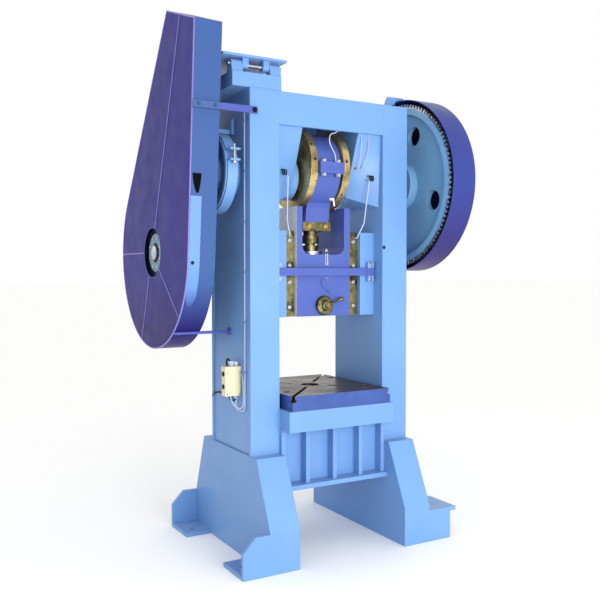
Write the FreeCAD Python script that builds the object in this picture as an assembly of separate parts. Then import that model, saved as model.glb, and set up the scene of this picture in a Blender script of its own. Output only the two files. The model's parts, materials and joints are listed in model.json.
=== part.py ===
"""Straight-side mechanical stamping press: one crank, one slide, flywheel on the left, main gear on the right.

Frame of the part: millimetres, +Z up, X across the press, -Y is the operator's side.
x = 0 is the press centre line, y = 0 the plane of the crankshaft, z = 0 the floor.
"""
import FreeCAD
import Part
import math
import os

V = FreeCAD.Vector
os.makedirs("parts", exist_ok=True)

# ---- frame
press_width = 1150.0     # over the columns
press_height = 2807.0    # to the top of the crown
column_width = 195.0
column_depth = 566.0
column_foot_z = 630.0
front_plate = 25.0
side_plate = 20.0
side_inset = 8.0
crown_plate = 20.0
crown_depth = 197.0
shade_gap = 0.3          # gap kept between curved faces of different bodies
fit_gap = 0.05           # running clearance on a radius or a guide face
seam_gap = 6.0           # daylight between a turning piece and its neighbour

# ---- bed and bolster
bed_plate_top = 897.0
bed_plate_thickness = 125.0
bed_plate_overhang = 126.0
bed_hole_r = 110.0
bed_wall_y = 245.0
bed_wall = 25.0
rib_pitch = 195.0
rib_thickness = 28.0
rib_front_y = 310.0
bed_flange_z = 405.0
bed_flange_thickness = 28.0
bed_flange_y = 340.0
chute_half_x = 90.0
chute_half_y = 150.0
bolster_width = 710.0
bolster_depth = 810.0
bolster_thickness = 91.0
bolster_bore_r = 60.0
slot_mouth = 22.0
slot_base = 37.0
slot_mouth_depth = 22.0
slot_base_depth = 16.0
slot_inner_r = 120.0
bolster_bolt_r = 15.0
bolster_bolt_inset_x = 60.0
bolster_bolt_inset_y = 190.0
bolster_head_r = 23.0
bolster_head_depth = 30.0
bolster_head_height = 22.0
bolster_bolt_depth = 60.0
bolster_socket_r = 9.0

# ---- legs and feet
leg_top_front = 357.0
leg_top_back = 421.0
leg_foot_front = 534.0
leg_foot_back = 585.0
leg_front_knee_z = 238.0
leg_back_knee_z = 170.0
leg_plate = 20.0
leg_edge_plate = 27.0
foot_reach = 172.0
foot_length = 268.0
foot_plate = 25.0
foot_end_z = 150.0
foot_top_z = 236.0
foot_chamfer_x = 80.0
chair_top_z = 200.0
chair_cap_reach = 45.0
anchor_hole_r = 17.0
anchor_inset_x = 70.0
anchor_y = 384.0

# ---- crankshaft
crank_z = 2328.0
crank_throw = 50.0       # half the stroke
journal_r = 90.0
pin_r = 80.0
pitman_half_width = 87.0
cheek_r = 262.0
cheek_rise = 62.0
cheek_gap = 8.0          # pitman to cheek
cheek_thickness = 47.0
bush_wall = 18.0
brake_width = 80.0
brake_r = 232.0
brake_rim = 26.0
brake_hub_wall = 32.0
brake_lining = 7.0
brake_strap = 5.0
brake_band_inset = 8.0
brake_gap_low = 60.0     # opening of the band, above the crank axis
brake_gap_high = 110.0
brake_ear = 12.0
brake_ear_reach = 34.0
brake_anchor_thickness = 26.0
brake_anchor_y = 20.0
brake_pad = 16.0
brake_pad_y = 45.0
brake_pad_low = 40.0
brake_pad_high = 90.0
housing_gap = 23.0       # cheek to bearing housing
housing_nose = 40.0      # hub length inside the housing's sloping body
housing_hub_wall = 32.0
housing_hub_out = 45.0   # hub length outside the column
housing_low_z = 2215.0
housing_column_z = 2150.0
housing_low_y = 105.0
housing_column_y = 235.0
housing_root_gap = 40.0  # under the crown's top plate

# ---- main gear, pinion, drive shaft
gear_module = 10.0
gear_teeth = 110
pinion_teeth = 15
gear_stand_off = 141.0   # column to gear
gear_width = 135.0
gear_proud = 9.0         # crankshaft end beyond the gear
end_plate_wall = 30.0
end_plate_thickness = 14.0
gear_rim_r = 492.0
gear_web_inset = 42.0
gear_web = 34.0
gear_hub_r = 165.0
gear_hub_proud = 20.0
gear_hole_circle = 352.0
gear_hole_r = 66.0
gear_hole_turn = 20.0
tooth_addendum = 0.92    # times the module
tooth_dedendum = 1.2
tooth_slack = 0.35
pressure_angle = 20.0
pinion_proud = 4.0
shaft_back_y = 405.0
shaft_r = 45.0
shaft_step = 14.0
shaft_step_gap = 32.0
shaft_proud = 20.0       # beyond the flywheel
shaft_right_proud = 25.0
pedestal_length = 110.0
pedestal_plate = 30.0
pedestal_wall = 38.0
pedestal_web_inset = 20.0
pedestal_low = 200.0
pedestal_high = 145.0

# ---- flywheel and belt guard
flywheel_r = 520.0
flywheel_stand_off = 218.0   # column to flywheel
flywheel_width = 112.0
flywheel_rim = 90.0
flywheel_web = 34.0
flywheel_hub_r = 130.0
flywheel_hub_inset = 6.0
bearing_wall = 30.0
clutch_cover_inset = 8.0
clutch_cover_thickness = 14.0
clutch_bolt_circle = 96.0
clutch_bolt_r = 9.0
clutch_bolt_head = 8.0
clutch_bolt_count = 8
groove_count = 4
groove_pitch = 24.0
groove_depth = 15.0
groove_mouth = 9.0       # half widths
groove_root = 5.0
guard_gap = 30.0         # flywheel to the guard's face
guard_width = 170.0
guard_sheet = 4.0
guard_r = 615.0
guard_top_y = -100.0
guard_top_z = 3224.0
guard_top_width = 465.0
guard_hub_hole_r = 160.0
guard_lip = 45.0
guard_bead = 4.0
bead_spread = 0.35       # radians off square, for the two cross-breaks at the sides
bead_end_inset = 12.0
cover_r = 590.0
cover_sheet = 6.0
cover_gap = 33.0         # crankshaft end to the cover's face
cover_edge = 4.0         # the cover's edge stands inside of the gear
lobe_r = 120.0

# ---- slide, gibs
slide_wall = 42.0
slide_half_depth = 172.0
slide_bottom_z = 1448.0
slide_top_z = 2140.0
pocket_gap = 14.0        # cheek to pocket wall
pocket_floor_z = 1840.0
pocket_corner_r = 55.0
ear_half_width = 290.0
ear_half_depth = 120.0
ear_top_z = 1960.0
gib_bottom_z = 1448.0
gib_top_z = 1985.0
gib_wall = 25.0
gib_leg = 10.0
gib_gap = 4.0            # slide to gib
gib_lip = 25.0
lip_depth = 35.0
gib_bolt_r = 12.0
gib_bolt_head = 12.0
gib_bolt_spots = (60.0, 215.0)
gib_groove_z = 150.0
gib_groove = 4.0
gib_groove_depth = 2.0
shank_r = 25.0
shank_depth = 90.0
stop_bar_z = 1729.0
stop_bar_height = 48.0
stop_bar_depth = 22.0
stop_bar_end_gap = 4.0
stop_lug_half = 24.0
stop_lug_shift = 14.0
stop_lug_rise = 62.0
stop_lug_proud = 6.0
stop_bolt_rise = 45.0
clamp_z = 1515.0
clamp_r = 62.0
clamp_tip_gap = 10.0     # screw tip to the shank bore
clamp_nut_length = 26.0
clamp_boss_r = 38.0
clamp_boss_length = 14.0
lever_r = 8.0
lever_length = 120.0
lever_slope = 0.35
lever_knob_r = 14.0

# ---- pitman and adjusting screw
big_end_wall = 92.0
big_end_gap = 6.0        # swept pin to bush
pitman_bush_wall = 12.0
pitman_lug_reach = 40.0
pitman_lug_rise = 36.0
pitman_bolt_r = 18.0
pitman_bolt_inset_x = 34.0
pitman_bolt_inset_y = 22.0
pitman_waist = 105.0
pitman_waist_rise = 95.0
pitman_shoulder_inset = 12.0
pitman_shoulder_drop = 40.0
pitman_foot = 90.0
lock_plate_z = 1993.0
lock_plate_height = 57.0
lock_plate_half = 103.0
lock_split = 3.0
screw_r = 46.0
collar_r = 58.0
collar_top_z = 1966.0
collar_height = 52.0
flange_r = 53.0
flange_rise = 5.0        # above the ball's retaining ring
flange_height = 33.0
bar_hole_r = 7.0
bar_hole_depth = 16.0
bar_hole_turn = 35.0
screw_room = 60.0        # free bore above the screw
neck_r = 34.0
ball_r = 52.0
ball_gap = 0.8
ball_z = 1800.0
seat_r = 66.0
seat_floor = 14.0
ring_r = 78.0
ring_height = 24.0
pitman_screw_top = 2215.0
clamp_screw_r = 18.0

# ---- motor mount on the crown
block_out = 112.0        # block beyond the column's outer face
block_length = 321.0
block_height = 85.0
block_depth = 470.0
lug_length = 70.0
lug_foot = 36.0
hinge_rod_r = 13.0
hinge_rod_proud = 14.0
motor_plate_thickness = 14.0
motor_plate_out = 177.0
motor_plate_length = 418.0
motor_plate_depth = 520.0
motor_plate_front = 12.0
motor_plate_rise = 35.0  # above the hinge
motor_hole_r = 9.0
motor_hole_x = 254.0
motor_hole_y = 210.0
hinge_y = -243.0
hinge_rise = 48.0        # above the block
eye_r = 26.0
eye_length = 40.0
eye_side_gap = 2.0
stud_r = 10.0
stud_y = 150.0
stud_spread = 120.0
stud_slot_gap = 6.0
stud_proud = 62.0
stud_nut_r = 22.0
stud_nut = 16.0
stud_nut_lift = 18.0
motor_mount_y = -30.0

# ---- lubricator and oil pipes
pipe_r = 5.0
lube_width = 105.0
lube_depth = 60.0
lube_low_z = 978.0
lube_height = 177.0
lube_front_y = -141.0
lube_corner_r = 6.0
lube_outlet_x = 30.0
lube_neck_r = 16.0
lube_neck = 14.0
lube_cap_r = 22.0
lube_cap = 20.0
lube_fitting_r = 11.0
lube_fitting = 20.0
lube_pipe_drop = 70.0
pipe_bend = 32.0
gib_pipe_r = 4.0
gib_pipe_bend = 16.0
gib_pipe_inset = 26.0
gib_pipe_drop = 36.0
clip_count = 6
clip_low_z = 1120.0
clip_pitch = 300.0
clip_half_width = 14.0
clip_gap = 0.2
side_pipe_y = -205.0
side_pipe_top = 2704.0
side_pipe_end = 95.0
housing_pipe_x = 300.0
housing_pipe_z = 2330.0
strap_z = 2655.0
strap_height = 40.0
strap_thickness = 10.0
brace_y = 25.0
brace_r = 9.0
brace_eye_r = 24.0
brace_eye = 12.0
strap_heel_inset = 5.0
strap_bolt_inset = 34.0
strap_bolt_r = 13.0
strap_bolt_head = 9.0
bolt_r = 12.0
cover_arm_near_y = 40.0
cover_arm_far_y = 205.0
cover_arm = 14.0
cover_arm_root = 434.0   # the arms' root above and below the crank
cover_arm_depth = 150.0
cover_arm_lap = 70.0
cover_arm_lip = 34.0

half_w = press_width / 2
half_d = column_depth / 2
inner_x = half_w - column_width
side_x = -half_w + side_inset    # outer side plate of the left column
crown_z = press_height - crown_depth
bolster_top = bed_plate_top + bolster_thickness

pin_z = crank_z + crank_throw
cheek_inner_x = pitman_half_width + cheek_gap
cheek_outer_x = cheek_inner_x + cheek_thickness
housing_inner_x = cheek_outer_x + housing_gap
housing_nose_x = housing_inner_x + housing_nose
housing_hub_r = journal_r + bush_wall + housing_hub_wall
hub_end_x = half_w + housing_hub_out
brake_near_x = hub_end_x + seam_gap
brake_far_x = brake_near_x + brake_width
brake_band_r = brake_r + shade_gap + brake_lining + brake_strap
crank_left_x = brake_far_x + seam_gap
gear_near_x = half_w + gear_stand_off
gear_far_x = gear_near_x + gear_width
crank_right_x = gear_far_x + gear_proud
cover_inner_x = gear_near_x - cover_edge
cover_outer_x = crank_right_x + cover_gap
flywheel_left_x = half_w + flywheel_stand_off + flywheel_width
guard_face_x = flywheel_left_x + guard_gap
shaft_left_x = flywheel_left_x + shaft_proud
shaft_right_x = gear_far_x + shaft_right_proud

pocket_half_width = cheek_outer_x + pocket_gap
slide_half_width = pocket_half_width + slide_wall
gib_x = slide_half_width + gib_gap
guide_x = ear_half_width + gib_leg + fit_gap
lip_x = guide_x - fit_gap - gib_lip
gib_face = ear_half_depth + gib_wall
lip_face = gib_face + lip_depth
stop_lug_x = (lip_x + inner_x) / 2 + stop_lug_shift
big_end_bore_r = pin_r + crank_throw + big_end_gap + pitman_bush_wall
big_end_r = big_end_bore_r + big_end_wall
pitman_lug_y = big_end_r + pitman_lug_reach
lock_top_z = lock_plate_z + lock_plate_height
ring_top_z = pocket_floor_z + ring_height
seat_low_z = ball_z - ball_r - seat_floor

block_left_x = half_w + block_out
block_right_x = block_left_x - block_length
block_middle_x = -(block_left_x + block_right_x) / 2
block_top = press_height + block_height
hinge_z = block_top + hinge_rise
motor_plate_z = hinge_z + motor_plate_rise
lube_x = side_x - lube_width / 2
lube_y = lube_front_y + lube_depth / 2
side_pipe_x = side_x - pipe_r - 1

centre_distance = gear_module * (gear_teeth + pinion_teeth) / 2
shaft_drop = math.sqrt(centre_distance ** 2 - shaft_back_y ** 2)
shaft_z = crank_z - shaft_drop


def box(x0, x1, y0, y1, z0, z1):
    return Part.makeBox(x1 - x0, y1 - y0, z1 - z0, V(x0, y0, z0))


def rod_x(r, x0, x1, y, z):
    return Part.makeCylinder(r, x1 - x0, V(x0, y, z), V(1, 0, 0))


def rod_y(r, y0, y1, x, z):
    return Part.makeCylinder(r, y1 - y0, V(x, y0, z), V(0, 1, 0))


def rod_z(r, z0, z1, x, y):
    return Part.makeCylinder(r, z1 - z0, V(x, y, z0), V(0, 0, 1))


def face_of(points):
    return Part.Face(Part.makePolygon(points + points[:1]))


def prism_x(outline, x0, x1):
    """Outline of (y, z) points, drawn out along X."""
    return face_of([V(x0, y, z) for y, z in outline]).extrude(V(x1 - x0, 0, 0))


def prism_y(outline, y0, y1):
    """Outline of (x, z) points, drawn out along Y."""
    return face_of([V(x, y0, z) for x, z in outline]).extrude(V(0, y1 - y0, 0))


def join(shapes):
    whole = shapes[0].fuse(shapes[1:]) if len(shapes) > 1 else shapes[0]
    return whole.removeSplitter()


def mirror_x(shape):
    return shape.mirror(V(0, 0, 0), V(1, 0, 0))


def mirror_y(shape):
    return shape.mirror(V(0, 0, 0), V(0, 1, 0))


def save(name, shape):
    if shape.ShapeType == "Compound" and len(shape.Solids) == 1:
        shape = shape.Solids[0]
    shape.exportStep("parts/" + name + ".step")
    print(name, len(shape.Solids), shape.isValid(), round(shape.Volume / 1e6, 2))


def group(name, shapes):
    save(name, Part.makeCompound(shapes))


# ---------------------------------------------------------------- frame
def column(side):
    """Welded box column: front and back plates stand proud of the outer side plate."""
    top = press_height - crown_plate
    outer = half_w - side_inset
    plates = [
        box(inner_x, half_w, -half_d, -half_d + front_plate, column_foot_z, top),
        box(inner_x, half_w, half_d - front_plate, half_d, column_foot_z, top),
        box(outer - side_plate, outer, -half_d + front_plate, half_d - front_plate, column_foot_z, top),
        box(inner_x, inner_x + side_plate, -half_d + front_plate, half_d - front_plate, column_foot_z, top),
    ]
    shape = join(plates).cut(rod_x(housing_hub_r + fit_gap, inner_x - 1, half_w + 1, 0, crank_z))
    return shape if side > 0 else mirror_x(shape)


def crown():
    top = press_height - crown_plate
    plates = [
        box(-half_w, half_w, -half_d, half_d, top, press_height),
        box(-inner_x, inner_x, -half_d, -half_d + front_plate, crown_z, top),
        box(-inner_x, inner_x, half_d - front_plate, half_d, crown_z, top),
    ]
    return join(plates)


def bed_plate():
    reach = half_d + bed_plate_overhang
    plate = box(-inner_x, inner_x, -reach, reach, bed_plate_top - bed_plate_thickness, bed_plate_top)
    plate = plate.cut(rod_z(bed_hole_r, bed_plate_top - bed_plate_thickness - 1, bed_plate_top + 1, 0, 0))
    return plate.cut(bolster_screws(bolster_bolt_r, bed_plate_top - bolster_bolt_depth, bed_plate_top + 1))


def bed_box():
    """Ribbed box under the bed plate, with a square chute down its middle."""
    top = bed_plate_top - bed_plate_thickness
    low = bed_flange_z + bed_flange_thickness
    parts = [
        box(-inner_x, inner_x, -bed_wall_y, -bed_wall_y + bed_wall, low, top),
        box(-inner_x, inner_x, bed_wall_y - bed_wall, bed_wall_y, low, top),
        box(-inner_x, inner_x, -bed_flange_y, bed_flange_y, bed_flange_z, low),
    ]
    for k in range(-1, 2):
        parts.append(rib(k * rib_pitch - rib_thickness / 2, low, top))
    parts.append(rib(-inner_x, low, top))
    parts.append(rib(inner_x - rib_thickness, low, top))
    chute = box(-chute_half_x, chute_half_x, -chute_half_y, chute_half_y, bed_flange_z - 1, top + 1)
    return join(parts).cut(chute)


def rib(x0, low, top):
    return box(x0, x0 + rib_thickness, -rib_front_y, rib_front_y, low, top)


def leg(side):
    outline = [
        (-leg_top_front, column_foot_z), (leg_top_back, column_foot_z),
        (leg_foot_back, leg_back_knee_z), (leg_foot_back, 0),
        (-leg_foot_front, 0), (-leg_foot_front, leg_front_knee_z),
    ]
    edge = leg_edge_plate
    hollow = [
        (-leg_top_front + edge, column_foot_z - leg_plate), (leg_top_back - edge, column_foot_z - leg_plate),
        (leg_foot_back - edge, leg_back_knee_z), (leg_foot_back - edge, -1),
        (-leg_foot_front + edge, -1), (-leg_foot_front + edge, leg_front_knee_z),
    ]
    shape = prism_x(outline, inner_x, half_w)
    shape = shape.cut(prism_x(hollow, inner_x + leg_plate, half_w - leg_plate))
    return shape if side > 0 else mirror_x(shape)


def foot(end_y, direction):
    """Sole plate beside the leg with an upright end plate, for the left leg (direction +1 runs back)."""
    y1 = end_y + direction * foot_length
    low, high = min(end_y, y1), max(end_y, y1)
    edge = end_y + direction * foot_plate
    sole = box(-half_w - foot_reach, -half_w, low, high, 0, foot_plate)
    outline = [
        (-half_w, foot_plate), (-half_w - foot_reach, foot_plate), (-half_w - foot_reach, foot_end_z),
        (-half_w - foot_reach + foot_chamfer_x, foot_top_z), (-half_w, foot_top_z),
    ]
    end = prism_y(outline, min(end_y, edge), max(end_y, edge))
    hole_y = -direction * anchor_y
    hole_x = -half_w - foot_reach + anchor_inset_x
    return join([sole, end]).cut(rod_z(anchor_hole_r, -1, foot_plate + 1, hole_x, hole_y))


def chair_foot(end_y, direction):
    """Sole plate with an anchor chair: two uprights under a drilled cap plate, for the right leg."""
    y1 = end_y + direction * foot_length
    low, high = min(end_y, y1), max(end_y, y1)
    x1 = half_w + foot_reach
    hole_y = -direction * anchor_y
    hole_x = x1 - anchor_inset_x
    near = end_y + direction * foot_plate
    far = end_y + direction * (foot_length - foot_plate)
    cap_z = chair_top_z - foot_plate
    parts = [
        box(half_w, x1, low, high, 0, foot_plate),
        box(half_w, x1, min(end_y, near), max(end_y, near), foot_plate, cap_z),
        box(half_w, x1, min(far, y1), max(far, y1), foot_plate, cap_z),
        box(half_w, x1 + chair_cap_reach, low, high, cap_z, chair_top_z),
    ]
    return join(parts).cut(rod_z(anchor_hole_r, -1, chair_top_z + 1, hole_x, hole_y))


# ---------------------------------------------------------------- bolster
def t_slot(angle):
    """One T-slot from near the middle to past the plate's edge, along a diagonal."""
    top = bolster_top
    length = math.hypot(bolster_width, bolster_depth) / 2 + 60
    mouth = box(slot_inner_r, length, -slot_mouth / 2, slot_mouth / 2, top - slot_mouth_depth, top + 1)
    floor_z = top - slot_mouth_depth - slot_base_depth
    base = box(slot_inner_r, length, -slot_base / 2, slot_base / 2, floor_z, top - slot_mouth_depth)
    slot = mouth.fuse(base)
    slot.rotate(V(0, 0, 0), V(0, 0, 1), angle)
    return slot


def bolster_screws(r, z0, z1):
    return Part.makeCompound([rod_z(r, z0, z1, x, y) for x, y in bolster_screw_spots()])


def bolster_screw_spots():
    dx = bolster_width / 2 - bolster_bolt_inset_x
    dy = bolster_depth / 2 - bolster_bolt_inset_y
    return [(sx * dx, sy * dy) for sx in (-1, 1) for sy in (-1, 1)]


def bolster():
    x = bolster_width / 2
    y = bolster_depth / 2
    plate = box(-x, x, -y, y, bed_plate_top, bolster_top)
    plate = plate.cut(rod_z(bolster_bore_r, bed_plate_top - 1, bolster_top + 1, 0, 0))
    corner = math.degrees(math.atan2(bolster_depth, bolster_width))
    for angle in (corner, 180 - corner, 180 + corner, -corner):
        plate = plate.cut(t_slot(angle))
    plate = plate.cut(bolster_screws(bolster_bolt_r + 1, bed_plate_top - 1, bolster_top + 1))
    return plate.cut(bolster_screws(bolster_head_r + 2, bolster_top - bolster_head_depth, bolster_top + 1))


def bolster_bolts():
    under = bolster_top - bolster_head_depth
    over = under + bolster_head_height
    bolts = []
    for x, y in bolster_screw_spots():
        head = rod_z(bolster_head_r, under, over, x, y)
        stem = rod_z(bolster_bolt_r - 0.5, bed_plate_top - bolster_bolt_depth + 5, under, x, y)
        socket = rod_z(bolster_socket_r, over - 12, over + 1, x, y)
        bolts.append(head.fuse(stem).cut(socket))
    return bolts


# ---------------------------------------------------------------- crankshaft and its bearings
def bearing_housing(side):
    """Cast hanger under the crown: sloping front and back faces, and a hub that passes the column."""
    top_y = half_d - front_plate

    def section(x, low_y, low_z):
        corners = [V(x, -top_y, crown_z), V(x, top_y, crown_z), V(x, low_y, low_z), V(x, -low_y, low_z)]
        return Part.makePolygon(corners + corners[:1])

    near = section(housing_nose_x, housing_low_y, housing_low_z)
    far = section(inner_x, housing_column_y, housing_column_z)
    body = Part.makeLoft([near, far], True, True)
    root = box(housing_nose_x, inner_x, -top_y, top_y, crown_z, press_height - crown_plate - housing_root_gap)
    hub = rod_x(housing_hub_r, housing_inner_x, hub_end_x, 0, crank_z)
    shape = join([body, root, hub]).cut(rod_x(journal_r + bush_wall, 0, hub_end_x + 1, 0, crank_z))
    return shape if side > 0 else mirror_x(shape)


def main_bush(side):
    bush = rod_x(journal_r + bush_wall, housing_inner_x, hub_end_x, 0, crank_z)
    bush = bush.cut(rod_x(journal_r + fit_gap, 0, hub_end_x + 1, 0, crank_z))
    return bush if side > 0 else mirror_x(bush)


def crankshaft():
    cheek = rod_x(cheek_r, cheek_inner_x, cheek_outer_x, 0, crank_z + cheek_rise)
    parts = [
        cheek, mirror_x(cheek),
        rod_x(pin_r, -cheek_inner_x, cheek_inner_x, 0, pin_z),
        rod_x(journal_r, -crank_left_x, -cheek_outer_x, 0, crank_z),
        rod_x(journal_r, cheek_outer_x, crank_right_x, 0, crank_z),
    ]
    return join(parts)


def brake_drum():
    x0 = -brake_far_x
    x1 = -brake_near_x
    inner = brake_r - brake_rim
    rim = rod_x(brake_r, x0, x1, 0, crank_z).cut(rod_x(inner, x0 - 1, x1 + 1, 0, crank_z))
    web = rod_x(inner, x0 + brake_rim, x1 - brake_rim, 0, crank_z)
    hub = rod_x(journal_r + brake_hub_wall, x0, x1, 0, crank_z)
    return join([rim, web, hub]).cut(rod_x(journal_r, x0 - 1, x1 + 1, 0, crank_z))


def brake_band():
    """Steel strap with a lining, round the back of the drum, open at the front where its ends are bolted."""
    x0 = -brake_far_x + brake_band_inset
    x1 = -brake_near_x - brake_band_inset
    inner = brake_r + shade_gap
    low = crank_z + brake_gap_low
    high = crank_z + brake_gap_high
    blank = rod_x(inner, x0 - 1, x1 + 1, 0, crank_z)
    opening = box(x0 - 1, x1 + 1, -brake_band_r, -inner / 2, low, high)
    ring = rod_x(brake_band_r, x0, x1, 0, crank_z).cut(opening)
    reach = -brake_band_r - brake_ear_reach
    root = -inner + 3 * brake_ear
    ears = [box(x0, x1, reach, root, z, z + brake_ear) for z in (low - brake_ear, high)]
    return join([ring] + ears).cut(blank)


def brake_anchor():
    """Bracket from the column's side plate that holds the band at its back."""
    x0 = -brake_far_x + brake_band_inset
    z0 = crank_z + brake_band_r
    arm = box(x0, side_x, -brake_anchor_y, brake_anchor_y, z0, z0 + brake_anchor_thickness)
    pad = box(side_x - brake_pad, side_x, -brake_pad_y, brake_pad_y, z0 - brake_pad_low, z0 + brake_pad_high)
    return join([arm, pad]).cut(rod_x(brake_band_r, x0 - 1, side_x + 1, 0, crank_z))


# ---------------------------------------------------------------- gears
def involute(base_r, r):
    """Polar angle of the involute of a base circle at radius r."""
    if r <= base_r:
        return 0.0
    pressure = math.acos(base_r / r)
    return math.tan(pressure) - pressure


def gear_outline(teeth, slack, phase):
    """Closed outline of an involute gear about the origin, as (u, v) points."""
    pitch_r = gear_module * teeth / 2
    base_r = pitch_r * math.cos(math.radians(pressure_angle))
    tip_r = pitch_r + tooth_addendum * gear_module
    root_r = pitch_r - tooth_dedendum * gear_module
    start_r = max(base_r, root_r + 0.5)
    half = math.pi / (2 * teeth) - slack / pitch_r + involute(base_r, pitch_r)
    steps = 5
    radii = [start_r + (tip_r - start_r) * k / (steps - 1) for k in range(steps)]
    flank = [(r, half - involute(base_r, r)) for r in radii]
    flank = [(root_r, flank[0][1])] + flank
    points = []
    for tooth in range(teeth):
        middle = phase + 2 * math.pi * tooth / teeth
        ring = [(r, middle - a) for r, a in flank] + [(r, middle + a) for r, a in reversed(flank)]
        points += [(r * math.cos(a), r * math.sin(a)) for r, a in ring]
    return points


def toothed_ring(teeth, phase, bore_r, x0, x1, y, z):
    outline = [(y + u, z + v) for u, v in gear_outline(teeth, tooth_slack, phase)]
    return prism_x(outline, x0, x1).cut(rod_x(bore_r, x0 - 1, x1 + 1, y, z))


def mesh_angle():
    """Direction from the crank axis to the drive shaft axis, in the Y-Z plane."""
    return math.atan2(-shaft_drop, shaft_back_y)


def main_gear():
    x0 = gear_near_x
    x1 = gear_far_x
    ring = toothed_ring(gear_teeth, mesh_angle(), gear_rim_r, x0, x1, 0, crank_z)
    web = rod_x(gear_rim_r, x0 + gear_web_inset, x0 + gear_web_inset + gear_web, 0, crank_z)
    hub = rod_x(gear_hub_r, x0 - gear_hub_proud, crank_right_x, 0, crank_z)
    body = web.fuse(hub).cut(rod_x(journal_r, x0 - gear_hub_proud - 1, crank_right_x + 1, 0, crank_z))
    for k in range(4):
        a = math.radians(gear_hole_turn + 90 * k)
        y = gear_hole_circle * math.cos(a)
        z = crank_z + gear_hole_circle * math.sin(a)
        body = body.cut(rod_x(gear_hole_r, x0, x1, y, z))
    return ring.fuse(body)


def gear_end_plate():
    return rod_x(journal_r + end_plate_wall, crank_right_x, crank_right_x + end_plate_thickness, 0, crank_z)


def hexagon_x(r, x0, x1, y, z):
    corners = [(y + r * math.cos(math.pi * k / 3), z + r * math.sin(math.pi * k / 3)) for k in range(6)]
    return prism_x(corners, x0, x1)


def hexagon_y(r, y0, y1, x, z):
    corners = [(x + r * math.cos(math.pi * k / 3), z + r * math.sin(math.pi * k / 3)) for k in range(6)]
    return prism_y(corners, y0, y1)


def hexagon_z(r, z0, z1, x, y):
    corners = [V(x + r * math.cos(math.pi * k / 3), y + r * math.sin(math.pi * k / 3), z0) for k in range(6)]
    return face_of(corners).extrude(V(0, 0, z1 - z0))


def pinion():
    phase = mesh_angle() + math.pi + math.pi / pinion_teeth
    x0 = gear_near_x - pinion_proud
    x1 = gear_far_x + pinion_proud
    return toothed_ring(pinion_teeth, phase, shaft_r, x0, x1, shaft_back_y, shaft_z)


def drive_shaft():
    step_x = half_w - pedestal_length - shaft_step_gap
    return join([
        rod_x(shaft_r, -shaft_left_x, shaft_right_x, shaft_back_y, shaft_z),
        rod_x(shaft_r + shaft_step, -step_x, step_x, shaft_back_y, shaft_z),
    ])


def pedestal(side):
    """Plummer block for the drive shaft, on a bracket from the column's back plate."""
    x0 = half_w - pedestal_length
    r = shaft_r + pedestal_wall
    inset = pedestal_web_inset
    low = shaft_z - pedestal_low
    high = shaft_z + pedestal_high
    web = prism_x([
        (half_d, low + inset), (half_d, high - inset), (shaft_back_y, shaft_z + r), (shaft_back_y, shaft_z - r),
    ], x0 + inset, half_w - inset)
    plate = box(x0, half_w, half_d, half_d + pedestal_plate, low, high)
    barrel = rod_x(r, x0, half_w, shaft_back_y, shaft_z)
    shape = join([web, plate, barrel]).cut(rod_x(shaft_r + fit_gap, x0 - 1, half_w + 1, shaft_back_y, shaft_z))
    return shape if side > 0 else mirror_x(shape)


# ---------------------------------------------------------------- flywheel
def flywheel():
    x0 = -flywheel_left_x
    x1 = x0 + flywheel_width
    y, z = shaft_back_y, shaft_z
    inner = flywheel_r - flywheel_rim
    rim = rod_x(flywheel_r, x0, x1, y, z).cut(rod_x(inner, x0 - 1, x1 + 1, y, z))
    for k in range(groove_count):
        x = (x0 + x1) / 2 + (k - (groove_count - 1) / 2) * groove_pitch
        rim = rim.cut(belt_groove(x, y, z))
    middle = (x0 + x1) / 2
    web = rod_x(inner, middle - flywheel_web / 2, middle + flywheel_web / 2, y, z)
    hub = rod_x(flywheel_hub_r, x0 + flywheel_hub_inset, x1 - flywheel_hub_inset, y, z)
    return join([rim, web, hub]).cut(rod_x(shaft_r + bearing_wall, x0 - 1, x1 + 1, y, z))


def belt_groove(x, y, z):
    """Ring of trapezoid section, the space for one V-belt."""
    r = flywheel_r
    section = [
        V(x - groove_mouth, y, z + r + 1), V(x + groove_mouth, y, z + r + 1),
        V(x + groove_root, y, z + r - groove_depth), V(x - groove_root, y, z + r - groove_depth),
    ]
    return face_of(section).revolve(V(x, y, z), V(1, 0, 0), 360)


def flywheel_bearing():
    x0 = -flywheel_left_x + flywheel_hub_inset
    x1 = x0 + flywheel_width - 2 * flywheel_hub_inset
    ring = rod_x(shaft_r + bearing_wall, x0, x1, shaft_back_y, shaft_z)
    return ring.cut(rod_x(shaft_r + fit_gap, x0 - 1, x1 + 1, shaft_back_y, shaft_z))


def clutch_cover():
    """Dished cover bolted on the flywheel's hub, over the clutch."""
    x1 = -flywheel_left_x + flywheel_hub_inset
    x0 = x1 - clutch_cover_thickness
    cover = rod_x(flywheel_hub_r - clutch_cover_inset, x0, x1, shaft_back_y, shaft_z)
    return cover.cut(rod_x(shaft_r + shaft_proud, x0 - 1, x1 + 1, shaft_back_y, shaft_z))


def clutch_cover_bolts():
    x1 = -flywheel_left_x + flywheel_hub_inset - clutch_cover_thickness
    bolts = []
    for k in range(clutch_bolt_count):
        a = 2 * math.pi * (k + 0.5) / clutch_bolt_count
        y = shaft_back_y + clutch_bolt_circle * math.cos(a)
        z = shaft_z + clutch_bolt_circle * math.sin(a)
        bolts.append(hexagon_x(clutch_bolt_r, x1 - clutch_bolt_head, x1, y, z))
    return bolts


# ---------------------------------------------------------------- belt guard
def guard_frame():
    """Direction along the guard's axis, from the flywheel to its top, and the half angle of its taper."""
    dy = guard_top_y - shaft_back_y
    dz = guard_top_z - shaft_z
    length = math.hypot(dy, dz)
    taper = math.asin((guard_r - guard_top_width / 2) / length)
    return math.atan2(dz, dy), length, taper


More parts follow.
